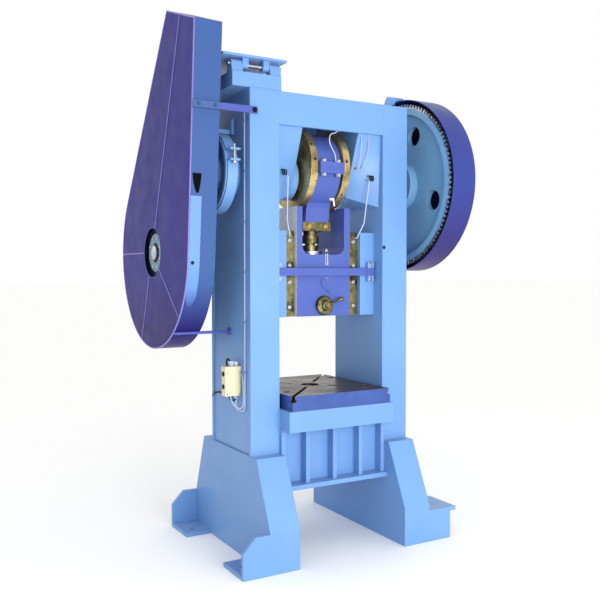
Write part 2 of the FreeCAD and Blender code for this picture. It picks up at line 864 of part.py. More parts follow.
def guard_face(inset, x):
    """Teardrop outline: round the flywheel, straight sides, square top. inset moves every side inwards."""
    heading, length, taper = guard_frame()
    r = guard_r - inset
    half_top = guard_top_width / 2 - inset / math.cos(taper) + inset * math.tan(taper)
    top = length - inset

    def at(along, across):
        y = shaft_back_y + along * math.cos(heading) - across * math.sin(heading)
        z = shaft_z + along * math.sin(heading) + across * math.cos(heading)
        return V(x, y, z)

    left = at(r * math.sin(taper), r * math.cos(taper))
    right = at(r * math.sin(taper), -r * math.cos(taper))
    arc = Part.Arc(left, at(-r, 0), right).toShape()
    edges = [
        arc, Part.makeLine(right, at(top, -half_top)), Part.makeLine(at(top, -half_top), at(top, half_top)),
        Part.makeLine(at(top, half_top), left),
    ]
    return Part.Face(Part.Wire(Part.__sortEdges__(edges)))


def belt_guard():
    x0 = -guard_face_x
    outer = guard_face(0, x0).extrude(V(guard_width, 0, 0))
    inner = guard_face(guard_sheet, x0 + guard_sheet).extrude(V(guard_width - 2 * guard_sheet, 0, 0))
    mouth = guard_face(guard_lip, x0 + guard_width - 2 * guard_sheet).extrude(V(3 * guard_sheet, 0, 0))
    shell = outer.cut(inner).cut(mouth)
    shell = shell.fuse([bead(*ends) for ends in bead_ends()])
    return shell.cut(rod_x(guard_hub_hole_r, x0 - 2 * guard_bead, x0 + guard_sheet + 1, shaft_back_y, shaft_z))


def bead_ends():
    """Start and end of each cross-break on the guard's face, as radius and angle about the hub."""
    heading, length, taper = guard_frame()
    inner = guard_hub_hole_r - guard_bead
    reach = guard_r - bead_end_inset
    side = math.pi / 2 + bead_spread
    rays = [(heading, length - bead_end_inset), (heading + math.pi, reach), (heading + side, reach),
            (heading - side, reach)]
    return [(angle, inner, end) for angle, end in rays]


def bead(angle, start, end):
    """Pressed ridge on the guard's face, along a ray from the hub."""
    a = V(-guard_face_x, shaft_back_y + start * math.cos(angle), shaft_z + start * math.sin(angle))
    ray = V(0, math.cos(angle), math.sin(angle))
    return Part.makeCylinder(guard_bead, end - start, a, ray)


def guard_rim_y(z):
    """Y of the guard's straight front side at height z."""
    heading, length, taper = guard_frame()
    lean = heading - math.pi / 2 - taper
    y0 = shaft_back_y - guard_r * math.cos(lean)
    z0 = shaft_z - guard_r * math.sin(lean)
    return y0 - (z - z0) * math.tan(lean)


def guard_strap():
    """Flat bar across the guard's front rim to the face of the column."""
    top = strap_z + strap_height
    front = min(-half_d, guard_rim_y(top)) - strap_thickness
    pad = prism_x([
        (front, strap_z), (front, top), (guard_rim_y(top), top), (guard_rim_y(strap_z), strap_z),
    ], -guard_face_x, -guard_face_x + guard_width)
    heel_x = -half_w + strap_heel_inset
    bar = box(-guard_face_x + guard_width, heel_x + strap_height, front, front + strap_thickness, strap_z, top)
    parts = [pad, bar]
    if front + strap_thickness < -half_d:
        parts.append(box(heel_x, heel_x + strap_height, front + strap_thickness, -half_d, strap_z, top))
    return join(parts)


def strap_bolts():
    front = min(-half_d, guard_rim_y(strap_z + strap_height)) - strap_thickness
    z = strap_z + strap_height / 2
    heel_x = -half_w + strap_heel_inset + strap_height / 2
    bolts = [hexagon_y(strap_bolt_r, front - strap_bolt_head, front, heel_x, z)]
    for x in (-guard_face_x + strap_bolt_inset, -guard_face_x + guard_width - strap_bolt_inset):
        bolts.append(hexagon_y(clutch_bolt_r, front - clutch_bolt_head, front, x, z))
    return bolts


def guard_brace():
    """Round bar under the guard's rim, with a flattened eye on the column's side plate."""
    across = shaft_back_y - brace_y
    drop = math.sqrt((guard_r + brace_r) ** 2 - across ** 2)
    z = shaft_z - drop
    near = side_x - brace_eye
    rod = rod_x(brace_r, -guard_face_x, near, brace_y, z)
    eye = rod_x(brace_eye_r, near, side_x, brace_y, z)
    head = hexagon_x(bolt_r, near - strap_bolt_head, near, brace_y, z)
    return join([rod, eye, head])


def gear_cover():
    def drum(r, x0, x1):
        lobe = rod_x(lobe_r - (cover_r - r), x0, x1, shaft_back_y, shaft_z)
        return rod_x(r, x0, x1, 0, crank_z).fuse(lobe)
    shell = drum(cover_r, cover_inner_x, cover_outer_x)
    return shell.cut(drum(cover_r - cover_sheet, cover_inner_x - 1, cover_outer_x - cover_sheet))


def cover_arm_plate(y, sz):
    """Plate from the column's side out to the cover's band."""
    rise = math.sqrt(cover_r ** 2 - (y + cover_arm) ** 2)

    def corner(x, up):
        return (x, crank_z + sz * up)

    outline = [
        corner(-side_x, cover_arm_root), corner(-side_x, cover_arm_root - cover_arm_depth),
        corner(cover_inner_x - 30, rise - 80), corner(cover_inner_x + cover_arm_lap, rise - 12),
        corner(cover_inner_x + cover_arm_lap, rise + cover_arm_lip),
        corner(cover_inner_x - 60, rise + cover_arm_lip),
    ]
    y0 = y - cover_arm / 2
    plate = prism_y(outline, y0, y0 + cover_arm)
    plate = plate.cut(rod_x(cover_r, cover_inner_x, cover_outer_x, 0, crank_z))
    gear_room = gear_module * gear_teeth / 2 + 2 * gear_module + 2
    return plate.cut(rod_x(gear_room, gear_near_x - 30, cover_outer_x, 0, crank_z))


# ---------------------------------------------------------------- slide and its guides
def slide():
    w, d = slide_half_width, slide_half_depth
    body = box(-w, w, -d, d, slide_bottom_z, slide_top_z)
    e = ear_half_depth - fit_gap
    ears = box(-ear_half_width, ear_half_width, -e, e, slide_bottom_z, ear_top_z)
    p, r = pocket_half_width, pocket_corner_r
    floor = pocket_floor_z
    hollow = [
        box(-p, p, -d - 1, d + 1, floor + r, slide_top_z + 1),
        box(-p + r, p - r, -d - 1, d + 1, floor, floor + r + 1),
        rod_y(r, -d - 1, d + 1, -p + r, floor + r),
        rod_y(r, -d - 1, d + 1, p - r, floor + r),
    ]
    body = body.fuse(ears)
    for cut in hollow:
        body = body.cut(cut)
    body = body.cut(rod_z(seat_r, seat_low_z, floor + 1, 0, 0))
    body = body.cut(rod_z(shank_r, slide_bottom_z - 1, slide_bottom_z + shank_depth, 0, 0))
    body = body.cut(rod_y(clamp_screw_r + fit_gap, -d - 1, -shank_r + 4, 0, clamp_z))
    return body.removeSplitter()


def ball_seat():
    cup = rod_z(seat_r, seat_low_z, pocket_floor_z, 0, 0)
    return cup.cut(Part.makeSphere(ball_r + ball_gap, V(0, 0, ball_z)))


def ball_ring():
    ring = rod_z(ring_r, pocket_floor_z, ring_top_z, 0, 0)
    ring = ring.cut(Part.makeSphere(ball_r + ball_gap, V(0, 0, ball_z)))
    return ring.cut(rod_z(neck_r + 2, pocket_floor_z, ring_top_z + 1, 0, 0))


def adjusting_screw():
    parts = [
        Part.makeSphere(ball_r, V(0, 0, ball_z)),
        rod_z(neck_r, ball_z, collar_top_z, 0, 0),
        rod_z(flange_r, ring_top_z + flange_rise, ring_top_z + flange_rise + flange_height, 0, 0),
        rod_z(collar_r, collar_top_z - collar_height, collar_top_z, 0, 0),
        rod_z(screw_r, collar_top_z, pitman_screw_top - screw_room, 0, 0),
    ]
    screw = join(parts)
    for k in range(4):
        hole_z = collar_top_z - collar_height / 2
        hole = rod_y(bar_hole_r, -collar_r - 1, -collar_r + bar_hole_depth, 0, hole_z)
        hole.rotate(V(0, 0, 0), V(0, 0, 1), 90 * k + bar_hole_turn)
        screw = screw.cut(hole)
    return screw


def gib_bracket(side):
    spine = box(guide_x, inner_x, -lip_face, lip_face, gib_bottom_z, gib_top_z)
    lips = [
        box(lip_x, guide_x, -lip_face, -gib_face, gib_bottom_z, gib_top_z),
        box(lip_x, guide_x, gib_face, lip_face, gib_bottom_z, gib_top_z),
    ]
    shape = join([spine] + lips)
    return shape if side > 0 else mirror_x(shape)


def gib(side, end):
    """Brass gib of L section: its wall faces the ear's flat side, its leg the ear's edge."""
    wall = box(gib_x, guide_x, -gib_face, -ear_half_depth, gib_bottom_z, gib_top_z)
    edge = box(ear_half_width + fit_gap, guide_x, -ear_half_depth, -gib_gap, gib_bottom_z, gib_top_z)
    shape = join([wall, edge])
    depth = -gib_face + gib_groove_depth
    for z in (gib_bottom_z + gib_groove_z, gib_top_z - gib_groove_z):
        shape = shape.cut(box(gib_x - 1, lip_x - 3 * gib_gap, -gib_face - 1, depth, z, z + gib_groove))
    shape = shape if end < 0 else mirror_y(shape)
    return shape if side > 0 else mirror_x(shape)


def gib_bolts():
    x = (gib_x + lip_x) / 2
    spots = [gib_bottom_z + rise for rise in gib_bolt_spots] + [gib_top_z - rise for rise in gib_bolt_spots]
    bolts = []
    for side in (-1, 1):
        for z in spots:
            bolts.append(rod_y(gib_bolt_r, -gib_face - gib_bolt_head, -gib_face, side * x, z))
            bolts.append(rod_y(gib_bolt_r, gib_face, gib_face + gib_bolt_head, side * x, z))
    return bolts


def stop_bar():
    """Bar across the front of the slide, on the lips of both gib brackets, with a lug at each end."""
    front = -lip_face - stop_bar_depth
    reach = inner_x - stop_bar_end_gap
    low = stop_bar_z - stop_bar_height / 2
    parts = [box(-reach, reach, front, -lip_face, low, low + stop_bar_height)]
    for x in (-stop_lug_x, stop_lug_x):
        parts.append(box(x - stop_lug_half, x + stop_lug_half, front - stop_lug_proud, -lip_face,
                         stop_bar_z - stop_lug_rise, stop_bar_z + stop_lug_rise))
    return join(parts)


def stop_bar_bolts():
    y1 = -lip_face - stop_bar_depth - stop_lug_proud
    bolts = []
    for x in (-stop_lug_x, stop_lug_x):
        for rise in (-stop_bolt_rise, stop_bolt_rise):
            bolts.append(hexagon_y(bolt_r, y1 - strap_bolt_head, y1, x, stop_bar_z + rise))
    return bolts


def clamp_nut():
    """Round nut with a lever on the screw that holds the die shank."""
    back = -slide_half_depth - shade_gap
    face = back - clamp_nut_length
    lever_y = face - clamp_boss_length / 2
    run = V(1, 0, lever_slope).normalize()
    return join([
        rod_y(clamp_r, face, back, 0, clamp_z),
        rod_y(clamp_boss_r, face - clamp_boss_length, face, 0, clamp_z),
        rod_y(clamp_screw_r, back, -shank_r - clamp_tip_gap, 0, clamp_z),
        Part.makeCylinder(lever_r, lever_length, V(0, lever_y, clamp_z), run),
        Part.makeSphere(lever_knob_r, V(0, lever_y, clamp_z) + run * lever_length),
    ])


# ---------------------------------------------------------------- pitman
def pitman_blank():
    round_end = rod_x(big_end_r, -pitman_half_width, pitman_half_width, 0, pin_z)
    shoulder_y = big_end_r - pitman_shoulder_inset
    shoulder_z = pin_z - pitman_shoulder_drop
    waist_z = lock_top_z + pitman_waist_rise
    shank = prism_x([
        (-shoulder_y, shoulder_z), (-pitman_waist, waist_z), (-pitman_foot, lock_top_z),
        (pitman_foot, lock_top_z), (pitman_waist, waist_z), (shoulder_y, shoulder_z), (0, pin_z),
    ], -pitman_half_width, pitman_half_width)
    lugs = box(-pitman_half_width, pitman_half_width, -pitman_lug_y, pitman_lug_y,
               pin_z - pitman_lug_rise, pin_z + pitman_lug_rise)
    blank = join([round_end, shank, lugs])
    return blank.cut(rod_x(big_end_bore_r, -pitman_half_width - 1, pitman_half_width + 1, 0, pin_z))


def pitman_half(z0, z1):
    room = 2 * pitman_lug_y
    return pitman_blank().common(box(-room, room, -room, room, z0, z1))


def pitman_body():
    thread = rod_z(screw_r + fit_gap, lock_top_z - 1, pitman_screw_top, 0, 0)
    return pitman_half(slide_bottom_z, pin_z).cut(thread)


def pitman_cap():
    return pitman_half(pin_z + shade_gap, pin_z + 2 * big_end_r)


def pitman_bush():
    ring = rod_x(big_end_bore_r, -pitman_half_width, pitman_half_width, 0, pin_z)
    bore_r = big_end_bore_r - pitman_bush_wall
    return ring.cut(rod_x(bore_r, -pitman_half_width - 1, pitman_half_width + 1, 0, pin_z))


def pitman_bolts():
    x = pitman_half_width - pitman_bolt_inset_x
    y = pitman_lug_y - pitman_bolt_inset_y
    bolts = []
    for sx in (-1, 1):
        for sy in (-1, 1):
            for z0 in (pin_z + pitman_lug_rise, pin_z - pitman_lug_rise - pitman_bolt_r):
                bolts.append(hexagon_z(pitman_bolt_r, z0, z0 + pitman_bolt_r, sx * x, sy * y))
    return bolts


def lock_plate():
    """Split clamp plate under the pitman that locks the adjusting screw."""
    low = lock_plate_z - 1
    high = lock_top_z + 1
    plate = box(-lock_plate_half, lock_plate_half, -pitman_foot, pitman_foot, lock_plate_z, lock_top_z)
    plate = plate.cut(rod_z(screw_r + fit_gap, low, high, 0, 0))
    return plate.cut(box(screw_r - lock_split, lock_plate_half + 1, -lock_split, lock_split, low, high))


# ---------------------------------------------------------------- motor mount
def motor_block():
    return box(-block_left_x, -block_right_x, -half_d, -half_d + block_depth, press_height, block_top)


def lug(x0):
    x1 = x0 + lug_length
    outline = [(hinge_y - lug_foot, block_top), (hinge_y + lug_foot, block_top),
               (hinge_y + eye_r, hinge_z), (hinge_y - eye_r, hinge_z)]
    shape = prism_x(outline, x0, x1).fuse(rod_x(eye_r, x0, x1, hinge_y, hinge_z))
    return shape.cut(rod_x(hinge_rod_r + fit_gap, x0 - 1, x1 + 1, hinge_y, hinge_z)).removeSplitter()


def hinge_lugs():
    return [lug(-block_left_x), lug(-block_right_x - lug_length)]


def hinge_rod():
    left_x = -block_left_x - hinge_rod_proud
    return rod_x(hinge_rod_r, left_x, -block_right_x + hinge_rod_proud, hinge_y, hinge_z)


def motor_plate():
    """Hinged plate for the motor's feet, with two eyes on the rod and two slots for the adjusting studs."""
    low = motor_plate_z
    high = low + motor_plate_thickness
    left_x = -half_w - motor_plate_out
    y0 = -half_d - motor_plate_front
    parts = [box(left_x, left_x + motor_plate_length, y0, y0 + motor_plate_depth, low, high)]
    lug_room = lug_length + eye_side_gap
    for x in (-block_left_x + lug_room, -block_right_x - lug_room - eye_length):
        parts.append(rod_x(eye_r, x, x + eye_length, hinge_y, hinge_z))
        parts.append(box(x, x + eye_length, hinge_y - eye_r, hinge_y + eye_r, hinge_z, low))
    pin = rod_x(hinge_rod_r + fit_gap, -block_left_x, -block_right_x, hinge_y, hinge_z)
    plate = join(parts).cut(pin)
    middle_x = left_x + motor_plate_length / 2
    for sx in (-1, 1):
        for sy in (-1, 1):
            x = middle_x + sx * motor_hole_x / 2
            y = motor_mount_y + sy * motor_hole_y / 2
            plate = plate.cut(rod_z(motor_hole_r, low - 1, high + 1, x, y))
        x = block_middle_x + sx * stud_spread
        plate = plate.cut(rod_z(stud_r + stud_slot_gap, low - 1, high + 1, x, stud_y))
    return plate


def motor_studs():
    low = motor_plate_z
    upper_z = low + motor_plate_thickness + stud_nut_lift
    studs = []
    for x in (block_middle_x - stud_spread, block_middle_x + stud_spread):
        studs.append(join([
            rod_z(stud_r, block_top, low + stud_proud, x, stud_y),
            hexagon_z(stud_nut_r, low - stud_nut, low, x, stud_y),
            hexagon_z(stud_nut_r, upper_z, upper_z + stud_nut, x, stud_y),
        ]))
    return studs


# ---------------------------------------------------------------- lubricator and oil pipes
def pipe(points, r, bend):
    """Round pipe along straight runs joined by tangent arcs of one bend radius."""
    pts = [V(*p) for p in points]
    edges = []
    start = pts[0]
    for k in range(1, len(pts) - 1):
        a = (pts[k - 1] - pts[k]).normalize()
        b = (pts[k + 1] - pts[k]).normalize()
        half = a.getAngle(b) / 2
        cut = bend / math.tan(half)
        p0 = pts[k] + a * cut
        p1 = pts[k] + b * cut
        axis = (a + b).normalize()
        centre = pts[k] + axis * (bend / math.sin(half))
        edges.append(Part.LineSegment(start, p0).toShape())
        edges.append(Part.Arc(p0, centre - axis * bend, p1).toShape())
        start = p1
    edges.append(Part.LineSegment(start, pts[-1]).toShape())
    path = Part.Wire(edges)
    ring = Part.Wire(Part.makeCircle(r, pts[0], pts[1] - pts[0]))
    return path.makePipeShell([ring], True, False)


def lubricator():
    y1 = lube_front_y + lube_depth
    tank = box(side_x - lube_width, side_x, lube_front_y, y1, lube_low_z, lube_low_z + lube_height)
    upright = [edge for edge in tank.Edges if abs(edge.Vertexes[0].Z - edge.Vertexes[1].Z) > 1]
    return tank.makeFillet(lube_corner_r, upright)


def lubricator_cap():
    z = lube_low_z + lube_height
    neck = rod_z(lube_neck_r, z, z + lube_neck, lube_x, lube_y)
    return join([neck, rod_z(lube_cap_r, z + lube_neck, z + lube_neck + lube_cap, lube_x, lube_y)])


def lubricator_fitting():
    return hexagon_z(lube_fitting_r, lube_low_z - lube_fitting, lube_low_z, lube_x + lube_outlet_x, lube_y)


def outlet_pipe():
    """From the lubricator's outlet down, forward and up the column's side to the crown."""
    x = lube_x + lube_outlet_x
    z = lube_low_z - lube_fitting
    low = z - lube_pipe_drop
    return pipe([
        (x, lube_y, z), (x, lube_y, low), (side_pipe_x, side_pipe_y, low),
        (side_pipe_x, side_pipe_y, side_pipe_top), (side_pipe_x, side_pipe_y + side_pipe_end, side_pipe_top),
    ], pipe_r, pipe_bend)


def pipe_clips():
    clips = []
    half = clip_half_width
    for k in range(clip_count):
        z = clip_low_z + k * clip_pitch
        block = box(side_pipe_x - half / 2, side_x, side_pipe_y - half, side_pipe_y + half, z, z + half)
        clips.append(block.cut(rod_z(pipe_r + clip_gap, z - 1, z + half + 1, side_pipe_x, side_pipe_y)))
    return clips


def gib_pipe(side):
    """Thin oil pipe from the bearing housing down to the front gib."""
    x0 = housing_pipe_x
    start_y = -housing_face_y(x0, housing_pipe_z)
    end_x = lip_x - gib_pipe_inset
    end_z = gib_top_z - gib_pipe_drop
    shape = pipe([
        (x0, start_y - 1, housing_pipe_z), (x0, start_y - 42, housing_pipe_z - 15),
        (x0 - 14, -gib_face - 62, gib_top_z + 60), (end_x, -gib_face - 36, end_z), (end_x, -gib_face, end_z),
    ], gib_pipe_r, gib_pipe_bend)
    shape = shape.cut(bearing_housing(1))
    return shape if side > 0 else mirror_x(shape)


def housing_face_y(x, z):
    """Half depth of the bearing housing's sloping face at (x, z)."""
    share = (x - housing_nose_x) / (inner_x - housing_nose_x)
    low_z = housing_low_z + share * (housing_column_z - housing_low_z)
    low_y = housing_low_y + share * (housing_column_y - housing_low_y)
    top_y = half_d - front_plate
    return low_y + (top_y - low_y) * (z - low_z) / (crown_z - low_z)


save("left_column", column(-1))
save("right_column", column(1))
save("crown", crown())
save("bed_plate", bed_plate())
save("bed_box", bed_box())
save("left_leg", join([leg(-1), foot(-leg_foot_front, 1), foot(leg_foot_back, -1)]))
save("right_leg", join([leg(1), chair_foot(-leg_foot_front, 1), chair_foot(leg_foot_back, -1)]))
save("bolster_plate", bolster())
group("bolster_bolts", bolster_bolts())
save("left_bearing_housing", bearing_housing(-1))
save("right_bearing_housing", bearing_housing(1))
group("main_bushes", [main_bush(-1), main_bush(1)])
save("left_drive_pedestal", pedestal(-1))
save("right_drive_pedestal", pedestal(1))
save("left_gib_bracket", gib_bracket(-1))
save("right_gib_bracket", gib_bracket(1))
group("front_gibs", [gib(-1, -1), gib(1, -1)])
group("rear_gibs", [gib(-1, 1), gib(1, 1)])
group("gib_bolts", gib_bolts())
save("stop_bar", stop_bar())
save("belt_guard", belt_guard())
save("guard_strap", guard_strap())
group("hexagon_bolts", stop_bar_bolts() + strap_bolts())
save("guard_brace", guard_brace())
save("gear_cover", gear_cover())
cover_arm_places = (cover_arm_near_y, cover_arm_far_y)
group("gear_cover_arms", [cover_arm_plate(y, sz) for y in cover_arm_places for sz in (-1, 1)])
save("brake_band", brake_band())
save("brake_anchor", brake_anchor())
save("motor_block", motor_block())
group("motor_hinge_lugs", hinge_lugs())
save("motor_hinge_rod", hinge_rod())
group("motor_adjusting_studs", motor_studs())
save("lubricator", lubricator())
group("lubricator_fittings", [lubricator_cap(), lubricator_fitting()])
save("side_oil_pipe", outlet_pipe())
group("pipe_clips", pipe_clips())
group("gib_oil_pipes", [gib_pipe(-1), gib_pipe(1)])

save("crankshaft", crankshaft())
save("main_gear", main_gear())
save("gear_end_plate", gear_end_plate())
save("brake_drum", brake_drum())

save("drive_shaft", drive_shaft())
save("pinion", pinion())

save("flywheel", flywheel())
save("flywheel_bearing", flywheel_bearing())
save("clutch_cover", clutch_cover())
group("clutch_cover_bolts", clutch_cover_bolts())

save("pitman", pitman_body())
save("pitman_cap", pitman_cap())
save("pitman_bush", pitman_bush())
group("pitman_bolts", pitman_bolts())
save("screw_lock_plate", lock_plate())

save("adjusting_screw", adjusting_screw())

save("slide", slide())
save("ball_seat", ball_seat())
save("ball_retaining_ring", ball_ring())

save("clamp_nut", clamp_nut())
save("motor_plate", motor_plate())
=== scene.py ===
import json
import math

import bmesh
import bpy
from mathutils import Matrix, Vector


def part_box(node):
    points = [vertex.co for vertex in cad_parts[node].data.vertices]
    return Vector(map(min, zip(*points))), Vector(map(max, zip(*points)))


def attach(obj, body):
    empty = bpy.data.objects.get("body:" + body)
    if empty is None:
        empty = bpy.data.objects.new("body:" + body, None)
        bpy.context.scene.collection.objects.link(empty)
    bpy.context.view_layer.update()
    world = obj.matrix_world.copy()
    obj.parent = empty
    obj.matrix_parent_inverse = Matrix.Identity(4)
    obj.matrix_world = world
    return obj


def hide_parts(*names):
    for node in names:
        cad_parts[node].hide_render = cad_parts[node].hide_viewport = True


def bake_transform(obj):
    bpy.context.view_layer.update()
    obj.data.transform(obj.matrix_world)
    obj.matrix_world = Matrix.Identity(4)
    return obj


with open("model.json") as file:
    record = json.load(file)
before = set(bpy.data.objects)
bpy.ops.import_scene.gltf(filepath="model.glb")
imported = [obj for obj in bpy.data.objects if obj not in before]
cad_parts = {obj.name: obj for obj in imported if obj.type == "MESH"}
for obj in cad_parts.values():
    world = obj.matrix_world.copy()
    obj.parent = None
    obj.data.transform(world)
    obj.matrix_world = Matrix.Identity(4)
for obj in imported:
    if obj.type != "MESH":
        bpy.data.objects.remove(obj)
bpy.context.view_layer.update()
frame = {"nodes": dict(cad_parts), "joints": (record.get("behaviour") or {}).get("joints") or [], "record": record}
nodes = frame["nodes"]
joints = {joint["name"]: joint for joint in frame["joints"]}
mm = 0.001

crankAxis = Vector(joints["crank_turn"]["pos_m"])
shaftAxis = Vector(joints["flywheel_turn"]["pos_m"])

# the camera stands at eye level, to the left of the press
viewPoint = {"place": (-2.611, -4.409, 1.718), "heading": 29.91, "pitch": -1.94, "lens": 46.79, "sensor": 36}
cameraData = bpy.data.cameras.new("studioCamera")
cameraData.lens = viewPoint["lens"]
cameraData.sensor_width = viewPoint["sensor"]
camera = bpy.data.objects.new("studioCamera", cameraData)
camera.location = viewPoint["place"]
camera.rotation_euler = (math.radians(90 + viewPoint["pitch"]), 0, -math.radians(viewPoint["heading"]))
bpy.context.scene.collection.objects.link(camera)
bpy.context.scene.camera = camera
print("camera placed")


# ---- materials

def linearColour(hexCode):
    channels = [int(hexCode[k:k + 2], 16) / 255 for k in (0, 2, 4)]
    curve = [c / 12.92 if c <= 0.04045 else ((c + 0.055) / 1.055) ** 2.4 for c in channels]
    return (*curve, 1.0)


def feed(tree, socket, value):
    # the value may be a plain one, a hex colour or another node's output
    if isinstance(value, bpy.types.NodeSocket):
        tree.links.new(value, socket)
    elif socket.type == "RGBA" and isinstance(value, str):
        socket.default_value = linearColour(value)
    else:
        socket.default_value = value


def addNode(tree, kind, inputs=None, **settings):
    node = tree.nodes.new(kind)
    for name, value in settings.items():
        setattr(node, name, value)
    for name, value in (inputs or {}).items():
        feed(tree, node.inputs[name], value)
    return node


def calc(tree, operation, first, second=0.0):
    return addNode(tree, "ShaderNodeMath", {0: first, 1: second}, operation=operation).outputs[0]


def axes(tree, vector):
    return addNode(tree, "ShaderNodeSeparateXYZ", {0: vector}).outputs


def upwards(tree, height):
    return addNode(tree, "ShaderNodeCombineXYZ", {"Z": height}).outputs[0]


def newMaterial(name):
    material = bpy.data.materials.new(name)
    material.use_nodes = True
    tree = material.node_tree
    tree.nodes.clear()
    shader = addNode(tree, "ShaderNodeBsdfPrincipled")
    output = addNode(tree, "ShaderNodeOutputMaterial")
    tree.links.new(shader.outputs["BSDF"], output.inputs["Surface"])
    place = addNode(tree, "ShaderNodeTexCoord").outputs["Object"]
    return material, tree, shader, place


def connect(tree, shader, **looks):
    # sockets by name, with _ for a space
    for name, value in looks.items():
        feed(tree, shader.inputs[name.replace("_", " ")], value)


def mixColours(tree, share, low, high):
    return addNode(tree, "ShaderNodeMix", {0: share, 6: low, 7: high}, data_type="RGBA",
                   clamp_factor=True).outputs[2]


def spread(tree, value, low, high, toLow=0.0, toHigh=1.0):
    return addNode(tree, "ShaderNodeMapRange", {
        "Value": value, "From Min": low, "From Max": high, "To Min": toLow, "To Max": toHigh}).outputs[0]


def noise(tree, place, size, detail=3.0, rough=0.5):
    # size is the width of one patch, in metres
    return addNode(tree, "ShaderNodeTexNoise", {
        "Vector": place, "Scale": 1 / size, "Detail": detail, "Roughness": rough}).outputs["Fac"]


def bump(tree, height, distance, strength, normal):
    return addNode(tree, "ShaderNodeBump", {
        "Height": height, "Distance": distance, "Strength": strength, "Normal": normal}).outputs[0]


def edgeMask(tree, radius):
    # 1 on edges, 0 on flat faces
    soft = addNode(tree, "ShaderNodeBevel", {"Radius": radius}, samples=4).outputs["Normal"]
    flat = addNode(tree, "ShaderNodeNewGeometry").outputs["Normal"]
    match = addNode(tree, "ShaderNodeVectorMath", {0: soft, 1: flat}, operation="DOT_PRODUCT").outputs["Value"]
    return spread(tree, match, 0.985, 0.80), soft


def crankRadius(tree, place, rise=0.0):
    # distance from a line along X, at the crank's axis or so much above it
    split = axes(tree, place)
    up = calc(tree, "SUBTRACT", split["Z"], crankAxis.z + rise)
    flat = addNode(tree, "ShaderNodeCombineXYZ", {"X": split["Y"], "Y": up}).outputs[0]
    return addNode(tree, "ShaderNodeVectorMath", {0: flat}, operation="LENGTH").outputs["Value"]


def enamel(name, body, shade, worn, rim=None, low=None, raised=None, peel=0.18 * mm, gloss=0.30, shine=0.35):
    # two-pack machine enamel, sprayed over filler: even gloss, faint orange peel, thin at the edges, dusty on top
    material, tree, shader, place = newMaterial(name)
    edge, soft = edgeMask(tree, 4 * mm)
    tone = mixColours(tree, spread(tree, noise(tree, place, 0.55), 0.3, 0.7), shade, body)
    facing = axes(tree, addNode(tree, "ShaderNodeNewGeometry").outputs["Normal"])
    if rim:
        # painted reflection: the sheet's narrow front side, facing -Y, takes the second colour, a lighter blue that
        # stands for the light it reflects
        tone = mixColours(tree, spread(tree, facing["Y"], -0.35, -0.75), tone, rim)
    split = axes(tree, place)
    if low:
        # painted shade: the colour darkens to a deeper one towards the bottom, between two heights
        paintedShadeHex, lowZ, highZ = low
        tone = mixColours(tree, spread(tree, split["Z"], lowZ, highZ, 1.0, 0.0), tone, paintedShadeHex)
    if raised:
        # pressed beads and hems stand left of this X, where the paint rubs pale
        raisedHex, beyond = raised
        proud = spread(tree, split["X"], beyond - 1.6 * mm, beyond - 0.6 * mm, 1.0, 0.0)
        tone = mixColours(tree, proud, tone, raisedHex)
    dust = calc(tree, "MULTIPLY", spread(tree, facing["Z"], 0.7, 1.0),
                spread(tree, noise(tree, place, 0.08, 5.0), 0.35, 0.65))
    tone = mixColours(tree, calc(tree, "MULTIPLY", dust, 0.18), tone, "B9B7B0")
    chips = spread(tree, noise(tree, place, 0.03, 4.0, 0.7), 0.45, 0.62)
    wear = calc(tree, "MULTIPLY", calc(tree, "MULTIPLY", edge, chips), 0.55)
    # orange peel is about 2 mm across, drawn at 9 mm so that it shows; plate has slow waves 250 mm long
    peelBump = bump(tree, noise(tree, place, 9 * mm, 1.0), peel, 0.5, soft)
    connect(tree, shader, Base_Color=mixColours(tree, wear, tone, worn), Specular_IOR_Level=shine,
            Roughness=spread(tree, noise(tree, place, 0.12, 5.0), 0.3, 0.7, gloss, gloss + 0.12),
            Normal=bump(tree, noise(tree, place, 0.25, 0.0), 2 * mm, 0.35, peelBump))
    return material


def metal(name, bright, dark, roughness, grain, stretch=(1, 1, 1), grime=None):
    # machined metal: grain is the width of the tool marks in metres, stretched along the cut
    material, tree, shader, place = newMaterial(name)
    edge, soft = edgeMask(tree, 1.5 * mm)
    mapped = addNode(tree, "ShaderNodeMapping", {"Vector": place, "Scale": stretch}).outputs[0]
    marks = noise(tree, mapped, grain, 2.0)
    tone = mixColours(tree, spread(tree, noise(tree, place, 0.05, 4.0, 0.6), 0.35, 0.65), dark, bright)
    if grime:
        film = spread(tree, noise(tree, place, 0.09, 5.0, 0.65), 0.46, 0.62)
        tone = mixColours(tree, film, tone, grime)
    connect(tree, shader, Base_Color=mixColours(tree, edge, tone, bright), Metallic=1.0,
            Roughness=spread(tree, marks, 0.3, 0.7, roughness - 0.08, roughness + 0.12),
            Normal=bump(tree, marks, 0.15 * mm, 0.4, soft))
    return material


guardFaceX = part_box("guard_strap")[0][0]
frameEnamel = enamel("sprayedBlueEnamel", "6C97CC", "658FC5", "A6C0E2")
# painted reflection on the guard's front faces in the rim's lighter blue, and painted shade towards the bottom between
# 1.36 and 1.66 m
guardEnamel = enamel("sprayedVioletEnamelPaintedSheen", "2A2080", "251C76", "6B64B0", rim="3C588F",
                     low=("2A1C66", 1.36, 1.66), raised=("8A80CC", guardFaceX), gloss=0.3, shine=0.1)
# painted shade: the gear cover darkens towards the bottom, between 1.85 and 2.25 m
coverEnamel = enamel("sprayedVioletCoverEnamelPaintedShade", "34428C", "2F3A82", "7A73BE", low=("2E2266", 1.85, 2.25), gloss=0.3,
                     shine=0.2)
hemEnamel = enamel("rubbedLilacHem", "8A84CC", "7C76C0", "A9A4DC", gloss=0.34)
